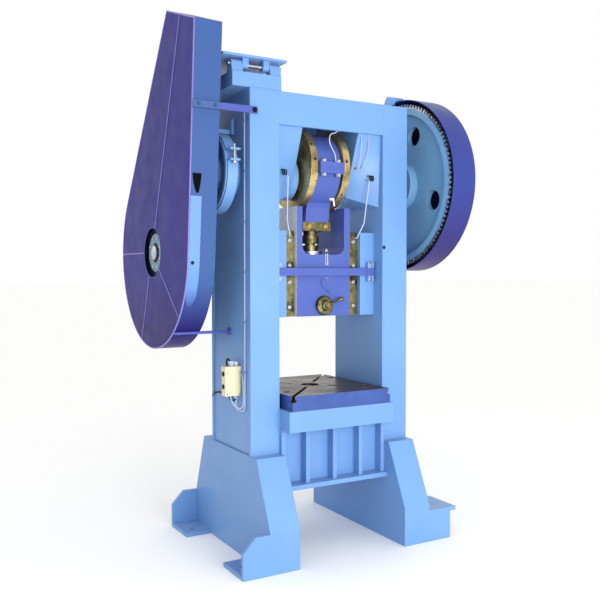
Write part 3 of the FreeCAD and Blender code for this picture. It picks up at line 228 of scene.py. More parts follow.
# painted highlight: light blue for the reflection down the guard rim, with painted shade near its lower end
highlightStripEnamel = enamel("paintedHighlightStrip", "5F8AC8", "5680BE", "9DB6DE", low=("3A4C98", 1.52, 1.64), gloss=0.22)
slateEnamel = enamel("slateCastEnamel", "6F8FA6", "64859C", "A6BAC6", gloss=0.34)
strapEnamel = enamel("sprayedLilacStrap", "4A56A8", "4450A0", "8A93D0", gloss=0.34)
slideEnamel = enamel("brushedIndigoEnamel", "4A5EA8", "4354A0", "8A93D0", gloss=0.34)
creamEnamel = enamel("bakedCreamEnamel", "E2DAB8", "D8CEA8", "F2EEDC", gloss=0.36)
nylonTube = enamel("naturalNylonTube", "B4BFDC", "A6B2D2", "E4E8F4", peel=0.04 * mm, gloss=0.36)
blackRubber = enamel("blackRubberHose", "151517", "101012", "2A2A2E", peel=0.2 * mm, gloss=0.5)
# painted shadow: black for the shade seen inside the guard's window
shadowBlack = enamel("paintedShadowBlack", "08080A", "050507", "141418", gloss=0.7, shine=0.05)
whiteLacquer = enamel("whiteLacquer", "F0F0EE", "E4E4E2", "FFFFFF", gloss=0.3)
bronze = metal("oiledBronze", "8F8763", "6F6842", 0.38, 2.5 * mm, (1, 1, 0.15), "3C3822")
brightBrass = metal("turnedBrass", "D8BC74", "A98C46", 0.22, 1.2 * mm)
turnedSteel = metal("turnedSteel", "D2D3D6", "A8AAAE", 0.24, 1.5 * mm)
castIron = metal("machinedCastIron", "8C8E92", "6A6C70", 0.42, 4 * mm, (1, 1, 1), "55565A")
blackSteel = metal("blackenedSteel", "2E2F33", "1B1C1F", 0.45, 3 * mm)


def crankMaterial():
    # forged and turned crankshaft: bronze-coloured by oil, with lathe-turned ring marks about the pin that are also
    # painted paler as highlight bands, brown in the hollows
    throw, ringPitch = 50 * mm, 12 * mm
    material, tree, shader, place = newMaterial("oiledForging")
    edge, soft = edgeMask(tree, 3 * mm)
    turned = calc(tree, "MULTIPLY", crankRadius(tree, place, throw), 2 * math.pi / ringPitch)
    ringsAndHighlights = spread(tree, calc(tree, "SINE", turned), -1, 1)
    oil = spread(tree, noise(tree, place, 0.14, 4.0, 0.6), 0.40, 0.62)
    tone = mixColours(tree, oil, "C0A766", "5A4420")
    # painted highlight: each turned ring is painted paler, for the bright bands of light along the turned face
    tone = mixColours(tree, calc(tree, "MULTIPLY", ringsAndHighlights, 0.25), tone, "E9DDB4")
    # the film of oil hides part of the metal
    connect(tree, shader, Base_Color=mixColours(tree, edge, tone, "F2EBD2"), Metallic=0.75,
            Roughness=spread(tree, oil, 0, 1, 0.30, 0.16), Normal=bump(tree, ringsAndHighlights, 0.6 * mm, 0.5, soft))
    return material


def bolsterMaterial():
    # ground steel bolster: only its four sides are painted; the top and the slots are bare, and dark with old oil
    material, tree, shader, place = newMaterial("groundAndPaintedBolster")
    edge, soft = edgeMask(tree, 2 * mm)
    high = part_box("bolster_plate")[1]
    split = axes(tree, place)
    inside = [spread(tree, calc(tree, "ABSOLUTE", split[k]), high[k] - 1 * mm, high[k] - 0.5 * mm, 1.0, 0.0)
              for k in (0, 1)]
    bare = calc(tree, "MULTIPLY", *inside)
    # cutter lines run along X, 3 mm wide
    lines = addNode(tree, "ShaderNodeMapping", {"Vector": place, "Scale": (0.04, 1, 1)}).outputs[0]
    marks = noise(tree, lines, 3 * mm, 2.0)
    stains = spread(tree, noise(tree, place, 0.16, 5.0, 0.6), 0.38, 0.66)
    ground = mixColours(tree, stains, "2B2320", "5A4E4A")
    ground = mixColours(tree, spread(tree, marks, 0.3, 0.8, 0.0, 0.5), ground, "6F645F")
    colour = mixColours(tree, bare, mixColours(tree, stains, "2C4688", "32509A"), ground)
    connect(tree, shader, Base_Color=mixColours(tree, edge, colour, "8E8C9A"),
            Roughness=spread(tree, stains, 0, 1, 0.28, 0.46), Metallic=spread(tree, bare, 0, 1, 0.0, 0.75),
            Normal=bump(tree, marks, 0.1 * mm, 0.4, soft))
    return material


def gearMaterial():
    # cast steel gear: bare greased teeth outside the painted web
    webRadius, rimRadius = 528 * mm, 536 * mm
    material, tree, shader, place = newMaterial("castGearPaintedWeb")
    soft = edgeMask(tree, 2 * mm)[1]
    bare = spread(tree, crankRadius(tree, place), webRadius, rimRadius)
    grease = spread(tree, noise(tree, place, 0.03, 5.0, 0.6), 0.4, 0.65)
    web = mixColours(tree, spread(tree, noise(tree, place, 0.5), 0.3, 0.7), "6B9BC2", "77A8CC")
    connect(tree, shader, Base_Color=mixColours(tree, bare, web, mixColours(tree, grease, "C4C9D4", "6E7688")),
            Roughness=spread(tree, bare, 0, 1, 0.36, 0.30), Metallic=spread(tree, bare, 0, 1, 0.0, 0.9),
            Normal=bump(tree, noise(tree, place, 6 * mm, 3.0), 0.5 * mm, 0.5, soft))
    return material


def copiedPaint(paint, name):
    # a copy of a paint, with its shader, its place and the socket that colours it
    material = paint.copy()
    material.name = name
    tree = material.node_tree
    found = {node.bl_idname: node for node in tree.nodes}
    shader = found["ShaderNodeBsdfPrincipled"]
    place = found["ShaderNodeTexCoord"].outputs["Object"]
    return material, tree, shader, place, shader.inputs["Base Color"].links[0].from_socket


def bareGuidesMaterial():
    # painted slide whose guide faces are bare steel with scraping marks about 6 mm long; their near-white colour is a
    # painted reflection of the white surroundings
    guideX = 197.6 * mm
    material, tree, shader, place, paint = copiedPaint(slideEnamel, "paintedSlideGuidesPaintedReflection")
    bare = spread(tree, calc(tree, "ABSOLUTE", axes(tree, place)["X"]), guideX, guideX + 0.3 * mm)
    scrapedPaintedReflection = mixColours(tree, noise(tree, place, 6 * mm, 3.0), "F1EEE4", "FFFDF6")
    connect(tree, shader, Base_Color=mixColours(tree, bare, paint, scrapedPaintedReflection),
            Metallic=spread(tree, bare, 0, 1, 0.0, 0.15))
    return material


def strapMaterial():
    # lilac bar whose pad at the guard's end takes the rim's lighter blue, a painted reflection
    padWidth = 170 * mm
    material, tree, shader, place, paint = copiedPaint(strapEnamel, "paintedStrapRimReflectionPad")
    padEnd = guardFaceX + padWidth
    pad = spread(tree, axes(tree, place)["X"], padEnd, padEnd + 1 * mm, 1.0, 0.0)
    connect(tree, shader, Base_Color=mixColours(tree, pad, paint, "3C588F"))
    return material


def barMaterial():
    # violet bar whose end lugs, above and below its own height, were sprayed with the frame
    halfBar = 25.5 * mm
    material, tree, shader, place, paint = copiedPaint(slideEnamel, "paintedBarBlueLugs")
    low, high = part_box("stop_bar")
    rise = calc(tree, "SUBTRACT", axes(tree, place)["Z"], (low[2] + high[2]) / 2)
    lugs = spread(tree, calc(tree, "ABSOLUTE", rise), halfBar, halfBar + 1 * mm)
    connect(tree, shader, Base_Color=mixColours(tree, lugs, paint, "6C97CC"))
    return material


finishes = {
    "frame_blue": frameEnamel, "guard_violet": guardEnamel, "ram_violet": slideEnamel, "brass": bronze,
    "bright_steel": turnedSteel, "black_steel": blackSteel, "cast_iron": castIron,
    "cream_enamel": creamEnamel, "pipe_nylon": nylonTube,
}
special = {
    "crankshaft": crankMaterial(), "bolster_plate": bolsterMaterial(), "main_gear": gearMaterial(),
    "gear_cover": coverEnamel, "brake_drum": frameEnamel, "brake_band": frameEnamel, "pipe_clips": frameEnamel,
    "brake_anchor": frameEnamel, "guard_brace": strapEnamel, "guard_strap": strapMaterial(),
    "flywheel": slateEnamel, "clutch_cover": slateEnamel, "slide": bareGuidesMaterial(), "stop_bar": barMaterial(),
}


def finishCadNodes():
    for part in frame["record"]["subparts"]:
        mesh = nodes[part["node"]].data
        mesh.materials.clear()
        mesh.materials.append(special.get(part["node"], finishes[part["material_slot"]]))


finishCadNodes()
print("materials on", len(nodes), "parts")


# ---- mesh helpers

def addPiece(name, vertices, faces, material, body, slot):
    # a finished piece: its place is in its mesh, and it rides on a body
    mesh = bpy.data.meshes.new(name)
    mesh.from_pydata([tuple(v) for v in vertices], [], faces)
    mesh.validate()
    piece = finishPiece(name, mesh, material, body)
    turnOutwards(piece)
    return piece


def finishPiece(name, mesh, material, body):
    if material:
        mesh.materials.clear()
        mesh.materials.append(material)
    piece = bpy.data.objects.new(name, mesh)
    bpy.context.scene.collection.objects.link(piece)
    if body:
        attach(piece, body)
    return piece


def islands(node):
    # lowest and highest corner of each loose solid in a node
    mesh = nodes[node].data
    owner = {}

    def root(key):
        while owner[key] != key:
            owner[key] = owner[owner[key]]
            key = owner[key]
        return key

    keys = [tuple(round(c, 6) for c in vertex.co) for vertex in mesh.vertices]
    for key in keys:
        owner.setdefault(key, key)
    for edge in mesh.edges:
        first, second = (root(keys[v]) for v in edge.vertices)
        owner[first] = second
    groups = {}
    for key in set(keys):
        groups.setdefault(root(key), []).append(key)
    boxes = [(Vector(map(min, zip(*group))), Vector(map(max, zip(*group)))) for group in groups.values()]
    return sorted(boxes, key=lambda corners: tuple(corners[0]))


def smoothPath(points):
    # the line of a tube: a clamped quadratic spline that its points draw after them
    curve = bpy.data.curves.new("path", "CURVE")
    curve.dimensions = "3D"
    spline = curve.splines.new("NURBS")
    spline.points.add(len(points) - 1)
    for point, place in zip(spline.points, points):
        point.co = (*place, 1)
    spline.order_u = 3
    spline.use_endpoint_u = True
    spline.resolution_u = 8
    return curve


def smooth(piece):
    for polygon in piece.data.polygons:
        polygon.use_smooth = True


def boxInMm(node):
    return (Vector(corner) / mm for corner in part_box(node))


def addTube(name, points, radius, material, body, sides=3):
    curve = smoothPath([Vector(p) * mm for p in points])
    curve.bevel_depth = radius * mm
    curve.bevel_resolution = sides
    curve.use_fill_caps = True
    holder = bpy.data.objects.new("holder", curve)
    bpy.context.scene.collection.objects.link(holder)
    depsgraph = bpy.context.evaluated_depsgraph_get()
    mesh = bpy.data.meshes.new_from_object(holder.evaluated_get(depsgraph))
    bpy.data.objects.remove(holder)
    piece = finishPiece(name, mesh, material, body)
    smooth(piece)
    return piece


def lathe(profile, origin, axis, steps=48, ribs=0, ribDepth=0.0, ribRows=()):
    # profile of (radius, height) pairs in mm, turned about an axis through origin; ribs flute the named rows
    axis = Vector(axis).normalized()
    side = axis.orthogonal().normalized()
    other = axis.cross(side)
    vertices = []
    faces = []
    for row, (radius, height) in enumerate(profile):
        for step in range(steps):
            angle = 2 * math.pi * step / steps
            depth = ribDepth * (0.5 - 0.5 * math.cos(ribs * angle)) if row in ribRows else 0
            reach = (radius - depth) * mm
            vertices.append(Vector(origin) * mm + axis * height * mm + (side * math.cos(angle)
                            + other * math.sin(angle)) * reach)
    for row in range(len(profile) - 1):
        for step in range(steps):
            after = (step + 1) % steps
            a, b = row * steps + step, row * steps + after
            faces.append((a, b, b + steps, a + steps))
    faces.append(tuple(reversed(range(steps))))
    top = (len(profile) - 1) * steps
    faces.append(tuple(range(top, top + steps)))
    return vertices, faces


def addLathe(name, profile, origin, axis, material, body, slot, **shape):
    return addPiece(name, *lathe(profile, origin, axis, **shape), material, body, slot)


def slab(outline, normal, thickness):
    # flat plate with a corner bevel of a fifth of its thickness; outline in mm, counter-clockwise about its normal
    normal = Vector(normal).normalized()
    points = [Vector(p) for p in outline]
    centre = sum(points, Vector()) / len(points)
    inset = min(thickness / 5, 1.5)
    layers = []
    for level, shrink in ((0, 0), (thickness - inset, 0), (thickness, inset)):
        layer = []
        for point in points:
            towards = centre - point
            layer.append((point + towards.normalized() * shrink + normal * level) * mm)
        layers.append(layer)
    count = len(points)
    vertices = [v for layer in layers for v in layer]
    faces = [tuple(reversed(range(count))), tuple(range(2 * count, 3 * count))]
    for row in range(2):
        for k in range(count):
            a, b = row * count + k, row * count + (k + 1) % count
            faces.append((a, b, b + count, a + count))
    return vertices, faces


def turnOutwards(piece):
    sheet = bmesh.new()
    sheet.from_mesh(piece.data)
    bmesh.ops.recalc_face_normals(sheet, faces=sheet.faces)
    sheet.to_mesh(piece.data)
    sheet.free()


def joined(parts):
    vertices = []
    faces = []
    for partVertices, partFaces in parts:
        start = len(vertices)
        vertices += partVertices
        faces += [tuple(index + start for index in face) for face in partFaces]
    return vertices, faces


# ---- screws: one tree for socket and hexagon heads, set on points that carry a direction and a size

def newTree(name, inputs):
    tree = bpy.data.node_groups.new(name, "GeometryNodeTree")
    tree.interface.new_socket("Geometry", in_out="INPUT", socket_type="NodeSocketGeometry")
    for label, (kind, value) in inputs.items():
        socket = tree.interface.new_socket(label, in_out="INPUT", socket_type=kind)
        if value is not None:
            socket.default_value = value
    tree.interface.new_socket("Geometry", in_out="OUTPUT", socket_type="NodeSocketGeometry")
    return tree, addNode(tree, "NodeGroupInput").outputs, addNode(tree, "NodeGroupOutput").inputs


def closeTree(tree, geometry, given, result):
    real = addNode(tree, "GeometryNodeRealizeInstances", {"Geometry": geometry}).outputs[0]
    done = addNode(tree, "GeometryNodeSetMaterial", {"Geometry": real, "Material": given["material"]}).outputs[0]
    tree.links.new(done, result[0])
    return tree


def screwTree():
    tree, given, result = newTree("screwField", {
        "sides": ("NodeSocketInt", 6), "headRadius": ("NodeSocketFloat", 0.012),
        "headHeight": ("NodeSocketFloat", 0.010), "chamfer": ("NodeSocketFloat", 0.0015),
        "recessShare": ("NodeSocketFloat", 0.55), "recessDepth": ("NodeSocketFloat", 0.005),
        "washerRadius": ("NodeSocketFloat", 0.016), "washerHeight": ("NodeSocketFloat", 0.002),
        "material": ("NodeSocketMaterial", None)})
    up, down = upwards(tree, 1.0), upwards(tree, -1.0)
    barrel = calc(tree, "SUBTRACT", given["headHeight"], given["chamfer"])
    head = addNode(tree, "GeometryNodeMeshCylinder", {
        "Vertices": given["sides"], "Radius": given["headRadius"], "Depth": barrel}, fill_type="NGON").outputs
    shoulder = addNode(tree, "GeometryNodeExtrudeMesh", {
        "Mesh": head["Mesh"], "Selection": head["Top"], "Offset": up, "Offset Scale": given["chamfer"]}).outputs
    drawnIn = addNode(tree, "GeometryNodeScaleElements", {
        "Geometry": shoulder["Mesh"], "Selection": shoulder["Top"], "Scale": 0.88}).outputs[0]
    rim = addNode(tree, "GeometryNodeExtrudeMesh", {
        "Mesh": drawnIn, "Selection": shoulder["Top"], "Offset": up, "Offset Scale": 0.0}).outputs
    mouth = addNode(tree, "GeometryNodeScaleElements", {
        "Geometry": rim["Mesh"], "Selection": rim["Top"], "Scale": given["recessShare"]}).outputs[0]
    recess = addNode(tree, "GeometryNodeExtrudeMesh", {
        "Mesh": mouth, "Selection": rim["Top"], "Offset": down, "Offset Scale": given["recessDepth"]}).outputs
    lift = calc(tree, "ADD", calc(tree, "DIVIDE", barrel, 2.0), given["washerHeight"])
    raised = addNode(tree, "GeometryNodeTransform", {
        "Geometry": recess["Mesh"], "Translation": upwards(tree, lift)}).outputs[0]
    washer = addNode(tree, "GeometryNodeMeshCylinder", {
        "Vertices": 28, "Radius": given["washerRadius"], "Depth": given["washerHeight"]}, fill_type="NGON").outputs
    washerLift = calc(tree, "DIVIDE", given["washerHeight"], 2.0)
    seated = addNode(tree, "GeometryNodeTransform", {
        "Geometry": washer["Mesh"], "Translation": upwards(tree, washerLift)}).outputs[0]
    both = addNode(tree, "GeometryNodeJoinGeometry")
    tree.links.new(raised, both.inputs[0])
    tree.links.new(seated, both.inputs[0])
    direction = addNode(tree, "GeometryNodeInputNamedAttribute", {"Name": "direction"},
                        data_type="FLOAT_VECTOR").outputs["Attribute"]
    size = addNode(tree, "GeometryNodeInputNamedAttribute", {"Name": "size"}, data_type="FLOAT").outputs["Attribute"]
    turn = addNode(tree, "FunctionNodeAlignRotationToVector", {"Vector": direction}, axis="Z").outputs[0]
    placed = addNode(tree, "GeometryNodeInstanceOnPoints", {
        "Points": given["Geometry"], "Instance": both.outputs[0], "Rotation": turn, "Scale": size}).outputs[0]
    return closeTree(tree, placed, given, result)


screws = screwTree()
socketHead = {"sides": 28, "headRadius": 12 * mm, "headHeight": 12 * mm, "chamfer": 1.2 * mm, "recessShare": 0.55,
              "recessDepth": 6 * mm, "washerRadius": 12.5 * mm, "washerHeight": 0.8 * mm}
hexHead = {"sides": 6, "headRadius": 12 * mm, "headHeight": 8 * mm, "chamfer": 1.6 * mm, "recessShare": 0.85,
           "recessDepth": 0.4 * mm, "washerRadius": 14.5 * mm, "washerHeight": 2 * mm}


def runTree(name, tree, mesh, values, body):
    # evaluates the tree on a mesh and keeps the result as a plain mesh
    holder = bpy.data.objects.new("holder", mesh)
    bpy.context.scene.collection.objects.link(holder)
    modifier = holder.modifiers.new("grow", "NODES")
    modifier.node_group = tree
    for socket in tree.interface.items_tree:
        if socket.in_out == "INPUT" and socket.name in values:
            modifier[socket.identifier] = values[socket.name]
    depsgraph = bpy.context.evaluated_depsgraph_get()
    grown = bpy.data.meshes.new_from_object(holder.evaluated_get(depsgraph))
    holder.modifiers.clear()
    bpy.data.objects.remove(holder)
    grown.polygons.foreach_set("material_index", [0] * len(grown.polygons))
    return finishPiece(name, grown, values["material"], body)


def addScrews(name, spots, kind, material=turnedSteel, body="frame"):
    # spots are (place in metres, direction, head radius in mm)
    mesh = bpy.data.meshes.new(name)
    mesh.from_pydata([tuple(place) for place, direction, radius in spots], [], [])
    mesh.attributes.new("direction", "FLOAT_VECTOR", "POINT")
    mesh.attributes.new("size", "FLOAT", "POINT")
    for k, (place, way, radius) in enumerate(spots):
        mesh.attributes["direction"].data[k].vector = way
        mesh.attributes["size"].data[k].value = radius * mm / kind["headRadius"]
    return runTree(name, screws, mesh, {**kind, "material": material}, body)


def boxScrews(node, axis, inwards):
    # a screw spot for each loose solid of a node: axis 0, 1 or 2, inwards gives the way its head points
    spots = []
    for low, high in islands(node):
        way = Vector((0, 0, 0))
        way[axis] = inwards((low + high) / 2)
        place = (low + high) / 2
        place[axis] = low[axis] if way[axis] > 0 else high[axis]
        across = [high[k] - low[k] for k in range(3) if k != axis]
        spots.append((place, way, max(across) / 2 / mm))
    return spots


def paintBolts(piece):
    # bolts on the guard are painted over, the strap's on the column are black, the stop bar's bright
    guardX, columnX = -0.7, -0.5
    for material in (blackSteel, guardEnamel):
        piece.data.materials.append(material)
    for polygon in piece.data.polygons:
        x = polygon.center.x
        polygon.material_index = 2 if x < guardX else 1 if x < columnX else 0


def buildScrews():
    lugs = islands("pitman_bolts")
    lugMiddle = sum(corner.z for box in lugs for corner in box) / (2 * len(lugs))
    for name, node, axis, inwards, kind, body, slot in (
            ("gibScrews", "gib_bolts", 1, lambda c: -1 if c.y < 0 else 1, socketHead, "frame", "bright_steel"),
            ("frameBolts", "hexagon_bolts", 1, lambda c: -1, hexHead, "frame", "black_steel"),
            ("pitmanCapBolts", "pitman_bolts", 2, lambda c: 1 if c.z > lugMiddle else -1,
             {**hexHead, "headHeight": 9.5 * mm}, "pitman", "bright_steel"),
            ("clutchCoverScrews", "clutch_cover_bolts", 0, lambda c: -1,
             {**hexHead, "headHeight": 8.5 * mm}, "flywheel", "bright_steel")):
        piece = addScrews(name, boxScrews(node, axis, inwards), kind, turnedSteel, body)
        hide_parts(node)
        if node == "hexagon_bolts":
            paintBolts(piece)
    low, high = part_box("screw_lock_plate")
    middle = (low[2] + high[2]) / 2
    addScrews("lockPlateScrews", [(Vector((x * mm, low[1], middle)), Vector((0, -1, 0)), 15) for x in (-62, 62)],
              {**socketHead, "headHeight": 9 * mm}, brightBrass, "pitman")


buildScrews()
print("screws set")


# ---- weld beads along the frame's seams

def beadTree():
    tree, given, result = newTree("weldBead", {
        "beadRadius": ("NodeSocketFloat", 0.005), "ripplePitch": ("NodeSocketFloat", 0.006),
        "rippleDepth": ("NodeSocketFloat", 0.22), "seed": ("NodeSocketInt", 4),
        "material": ("NodeSocketMaterial", None)})
    line = addNode(tree, "GeometryNodeMeshToCurve", {"Mesh": given["Geometry"]}).outputs[0]
    even = addNode(tree, "GeometryNodeResampleCurve", {"Curve": line, "Length": given["ripplePitch"]},
                   mode="LENGTH").outputs[0]
    low = calc(tree, "SUBTRACT", 1.0, given["rippleDepth"])
    # inputs 2 and 3 are the least and most of the plain number
    uneven = addNode(tree, "FunctionNodeRandomValue", {2: low, 3: 1.0, "Seed": given["seed"]},
                     data_type="FLOAT").outputs[1]
    profile = addNode(tree, "GeometryNodeCurvePrimitiveCircle", {"Resolution": 6, "Radius": given["beadRadius"]},
                      mode="RADIUS").outputs[0]
    swept = addNode(tree, "GeometryNodeCurveToMesh", {
        "Curve": even, "Profile Curve": profile, "Scale": uneven, "Fill Caps": True}).outputs[0]
    soft = addNode(tree, "GeometryNodeSetShadeSmooth", {"Geometry": swept}).outputs[0]
    return closeTree(tree, soft, given, result)


welds = beadTree()


def addWelds(name, lines, radius, material, body):
    mesh = bpy.data.meshes.new(name)
    points = []
    edges = []
    for line in lines:
        start = len(points)
        points += [tuple(p) for p in line]
        edges += [(start + k, start + k + 1) for k in range(len(line) - 1)]
    mesh.from_pydata(points, edges, [])
    return runTree(name, welds, mesh, {"beadRadius": radius * mm, "material": material}, body)


def outlineOf(low, high, axis, at):
    # closed rectangle on one face of a box
    a, b = [k for k in range(3) if k != axis]
    corners = []
    for u, v in ((low[a], low[b]), (high[a], low[b]), (high[a], high[b]), (low[a], high[b]), (low[a], low[b])):
        corner = Vector((0, 0, 0))
        corner[a], corner[b], corner[axis] = u, v, at
        corners.append(corner)
    return corners


def buildWelds():
    size = {"boxHalf": 0.310, "rib": 0.195, "ribHalf": 0.014, "ribFoot": 0.309, "ribWall": 0.245, "flange": 0.028,
            "soleTop": 0.027, "footLength": 0.268}
    lines = []
    for side in ("left", "right"):
        low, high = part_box(side + "_column")
        lines.append(outlineOf(low, high, 2, low[2]))
        low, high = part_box(side + "_gib_bracket")
        columnSide = low[0] if side == "left" else high[0]
        lines += [[(columnSide, y, low[2]), (columnSide, y, high[2])] for y in (low[1], high[1])]
        low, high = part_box(side + "_drive_pedestal")
        lines.append(outlineOf(low, high, 1, low[1]))
    low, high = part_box("bed_plate")
    columnLow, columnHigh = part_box("right_column")
    for x in (low[0], high[0]):
        lines += [[(x, y, low[2]), (x, y, high[2])] for y in (columnLow[1], columnHigh[1])]
    low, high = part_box("bed_box")
    for y in (-size["boxHalf"], size["boxHalf"]):
        lines.append([(low[0], y, high[2]), (high[0], y, high[2])])
    # ribs under the bed plate, on the box's flange and up its front wall
    flangeTop = low[2] + size["flange"]
    for rib in (-size["rib"], 0, size["rib"]):
        for x in (rib - size["ribHalf"], rib + size["ribHalf"]):
            for way in (-1, 1):
                foot, wall = way * size["ribFoot"], way * size["ribWall"]
                lines.append([(x, foot, flangeTop), (x, wall, flangeTop), (x, wall, high[2])])
    blockLow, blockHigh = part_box("motor_block")
    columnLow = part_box("left_column")[0]
    lines.append(outlineOf(Vector((columnLow[0], blockLow[1], 0)), Vector((blockHigh[0], blockHigh[1], 0)), 2,
                           blockLow[2]))
    for low, high in islands("motor_hinge_lugs"):
        lines.append(outlineOf(low, high, 2, low[2]))
    addWelds("frameWelds", lines, 4.5, frameEnamel, "frame")
    # short runs along the soles, front and back
    lines = []
    for side, way in (("left", -1), ("right", 1)):
        low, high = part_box(side + "_leg")
        face = way * columnHigh[0]
        for front, back in ((low[1], low[1] + size["footLength"]), (high[1] - size["footLength"], high[1])):
            lines.append([(face, front + 1 * mm, size["soleTop"]), (face, back - 1 * mm, size["soleTop"])])
    addWelds("footWelds", lines, 6, frameEnamel, "frame")


buildWelds()
print("welds laid")


# ---- belt guard trim

guard = {"radius": 615, "topY": -100, "topZ": 3224, "topWidth": 465, "hem": 4.5, "hubHole": 160}


def guardFrame():
    dy = guard["topY"] - shaftAxis.y / mm
    dz = guard["topZ"] - shaftAxis.z / mm
    length = math.hypot(dy, dz)
    taper = math.asin((guard["radius"] - guard["topWidth"] / 2) / length)
    return math.atan2(dz, dy), length, taper


def guardPoint(along, across, x):
    # a place on the guard's face, in mm along and across its axis
    heading = guardFrame()[0]
    y = shaftAxis.y / mm + along * math.cos(heading) - across * math.sin(heading)
    z = shaftAxis.z / mm + along * math.sin(heading) + across * math.cos(heading)
    return Vector((x, y, z))


def rimPlace(z, lift):
    # a place on the front of the rim at a height, moved out by lift: straight above, round below
    heading, _, taper = guardFrame()
    radius = guard["radius"]
    turn = heading + math.pi / 2 - taper
    drop = z - shaftAxis.z / mm - radius * math.sin(turn)
    if drop > 0:
        y = radius * math.cos(turn) - drop * math.tan(turn)
        return shaftAxis.y / mm + y + lift * math.cos(turn), z + lift * math.sin(turn)
    turn = math.pi - math.asin((z - shaftAxis.z / mm) / radius)
    return (shaftAxis.y / mm + (radius + lift) * math.cos(turn), shaftAxis.z / mm + (radius + lift) * math.sin(turn))


def guardOutline(x, inset):
    length, taper = guardFrame()[1:]
    radius = guard["radius"] - inset
    halfTop = guard["topWidth"] / 2 - inset
    points = [guardPoint(length - inset, halfTop, x)]
    steps = 72
    for step in range(steps + 1):
        angle = math.pi / 2 - taper + (math.pi + 2 * taper) * step / steps
        points.append(guardPoint(radius * math.cos(angle), radius * math.sin(angle), x))
    points.append(guardPoint(length - inset, -halfTop, x))
    return points


def sweep(rows, closed=True):
    # a skin over rows of places in mm, from each row to the next and from the last to the first
    count = len(rows[0])
    faces = []
    for row in range(len(rows)):
        following = (row + 1) % len(rows)
        for k in range(count if closed else count - 1):
            after = (k + 1) % count
            faces.append((row * count + k, row * count + after, following * count + after, following * count + k))
    return [v * mm for row in rows for v in row], faces


def buildGuardTrim():
    faceX = guardFaceX / mm
    stripTop, stripEnd, stripRows = 2163, 1528, 44
    # rolled hem round the face
    rows = []
    for step in range(8):
        angle = 2 * math.pi * step / 8
        rows.append(guardOutline(faceX + 1.5 + guard["hem"] * math.cos(angle), 3 - guard["hem"] * math.sin(angle)))
    smooth(addPiece("guardHem", *sweep(rows), hemEnamel, "frame", "guard_violet"))
    # rolled edge of the hub hole
    ring = []
    for step in range(8):
        angle = 2 * math.pi * step / 8
        radius = guard["hubHole"] + 3 * math.cos(angle)
        ring.append([Vector((faceX + 2 + 3.5 * math.sin(angle), shaftAxis.y / mm + radius * math.cos(turn),
                             shaftAxis.z / mm + radius * math.sin(turn)))
                     for turn in [2 * math.pi * k / 64 for k in range(64)]])
    smooth(addPiece("guardHubEdge", *sweep(ring), guardEnamel, "frame", "guard_violet"))
    # a strip down the front of the rim, below the window, with a rounded lower end; its light blue is a painted
    # highlight for the rim's reflection, fading near the lower end as painted shade
    strip = [[], [], [], []]
    for k in range(stripRows + 1):
        z = stripTop - (stripTop - stripEnd) * k / stripRows
        shrink = 0.9 * max(0, k - stripRows + 5) ** 2
        for row, (x, lift) in enumerate(((faceX + 4 + shrink, 0.2), (faceX + 4 + shrink, 2.2),
                                         (faceX + 72 - shrink, 2.2), (faceX + 72 - shrink, 0.2))):
            y, height = rimPlace(z, lift)
            strip[row].append(Vector((x, y, height)))
    vertices, faces = sweep(strip, closed=False)
    count = stripRows + 1
    faces += [(0, count, 2 * count, 3 * count), tuple(row * count + count - 1 for row in (3, 2, 1, 0))]
    addPiece("guardHighlightStrip", vertices, faces, highlightStripEnamel, "frame", "guard_violet")
    # painted shadow: a thin black sheet on the rim stands for the shade inside a tapered window
    window = [[], []]
    for z, x0, x1 in ((2290, 14, 67), (2262, 16, 66), (2235, 21, 63), (2205, 29, 59), (2180, 39, 53)):
        for row, lift in enumerate((-2.0, 0.9)):
            y, height = rimPlace(z, lift)
            window[row] += [Vector((faceX + x0, y, height)), Vector((faceX + x1, y, height))]
    count = len(window[0])
    vertices = [v * mm for row in window for v in row]
    faces = []
    for k in range(0, count - 2, 2):
        faces += [(k, k + 1, k + 3, k + 2), tuple(index + count for index in (k, k + 2, k + 3, k + 1))]
        faces += [(k, k + 2, k + 2 + count, k + count), (k + 1, k + 1 + count, k + 3 + count, k + 3)]
    faces += [(0, count, count + 1, 1), (count - 2, count - 1, 2 * count - 1, 2 * count - 2)]
    addPiece("guardWindowShadow", vertices, faces, shadowBlack, "frame", "black_steel")
    y, height = rimPlace(1780, 2.2)
    outwards = Vector((0, y - shaftAxis.y / mm, height - shaftAxis.z / mm)).normalized()
    addScrews("guardScrew", [(Vector((faceX + 27, y, height)) * mm, outwards, 9)], {**hexHead, "headHeight": 6 * mm},
              blackSteel, "frame")


buildGuardTrim()
print("guard trimmed")


# ---- oil tubes, clamps and fittings

tubeSize = {"small": 2.4, "hose": 3.6, "union": 8.0, "clamp": 3.4, "feed": 6.5, "lead": 5.0, "return": 4.0}


def addUnion(name, place, axis):
    # nut and collar of a compression fitting, six flats
    radius = tubeSize["union"]
    profile = [(radius * 0.7, 0), (radius, 1), (radius, 9), (radius * 0.75, 10), (radius * 0.75, 15),
               (radius * 0.55, 16), (radius * 0.55, 20)]
    addLathe(name, profile, place, axis, brightBrass, "frame", "brass", steps=36, ribs=6, ribDepth=radius * 0.12,
             ribRows=(1, 2))


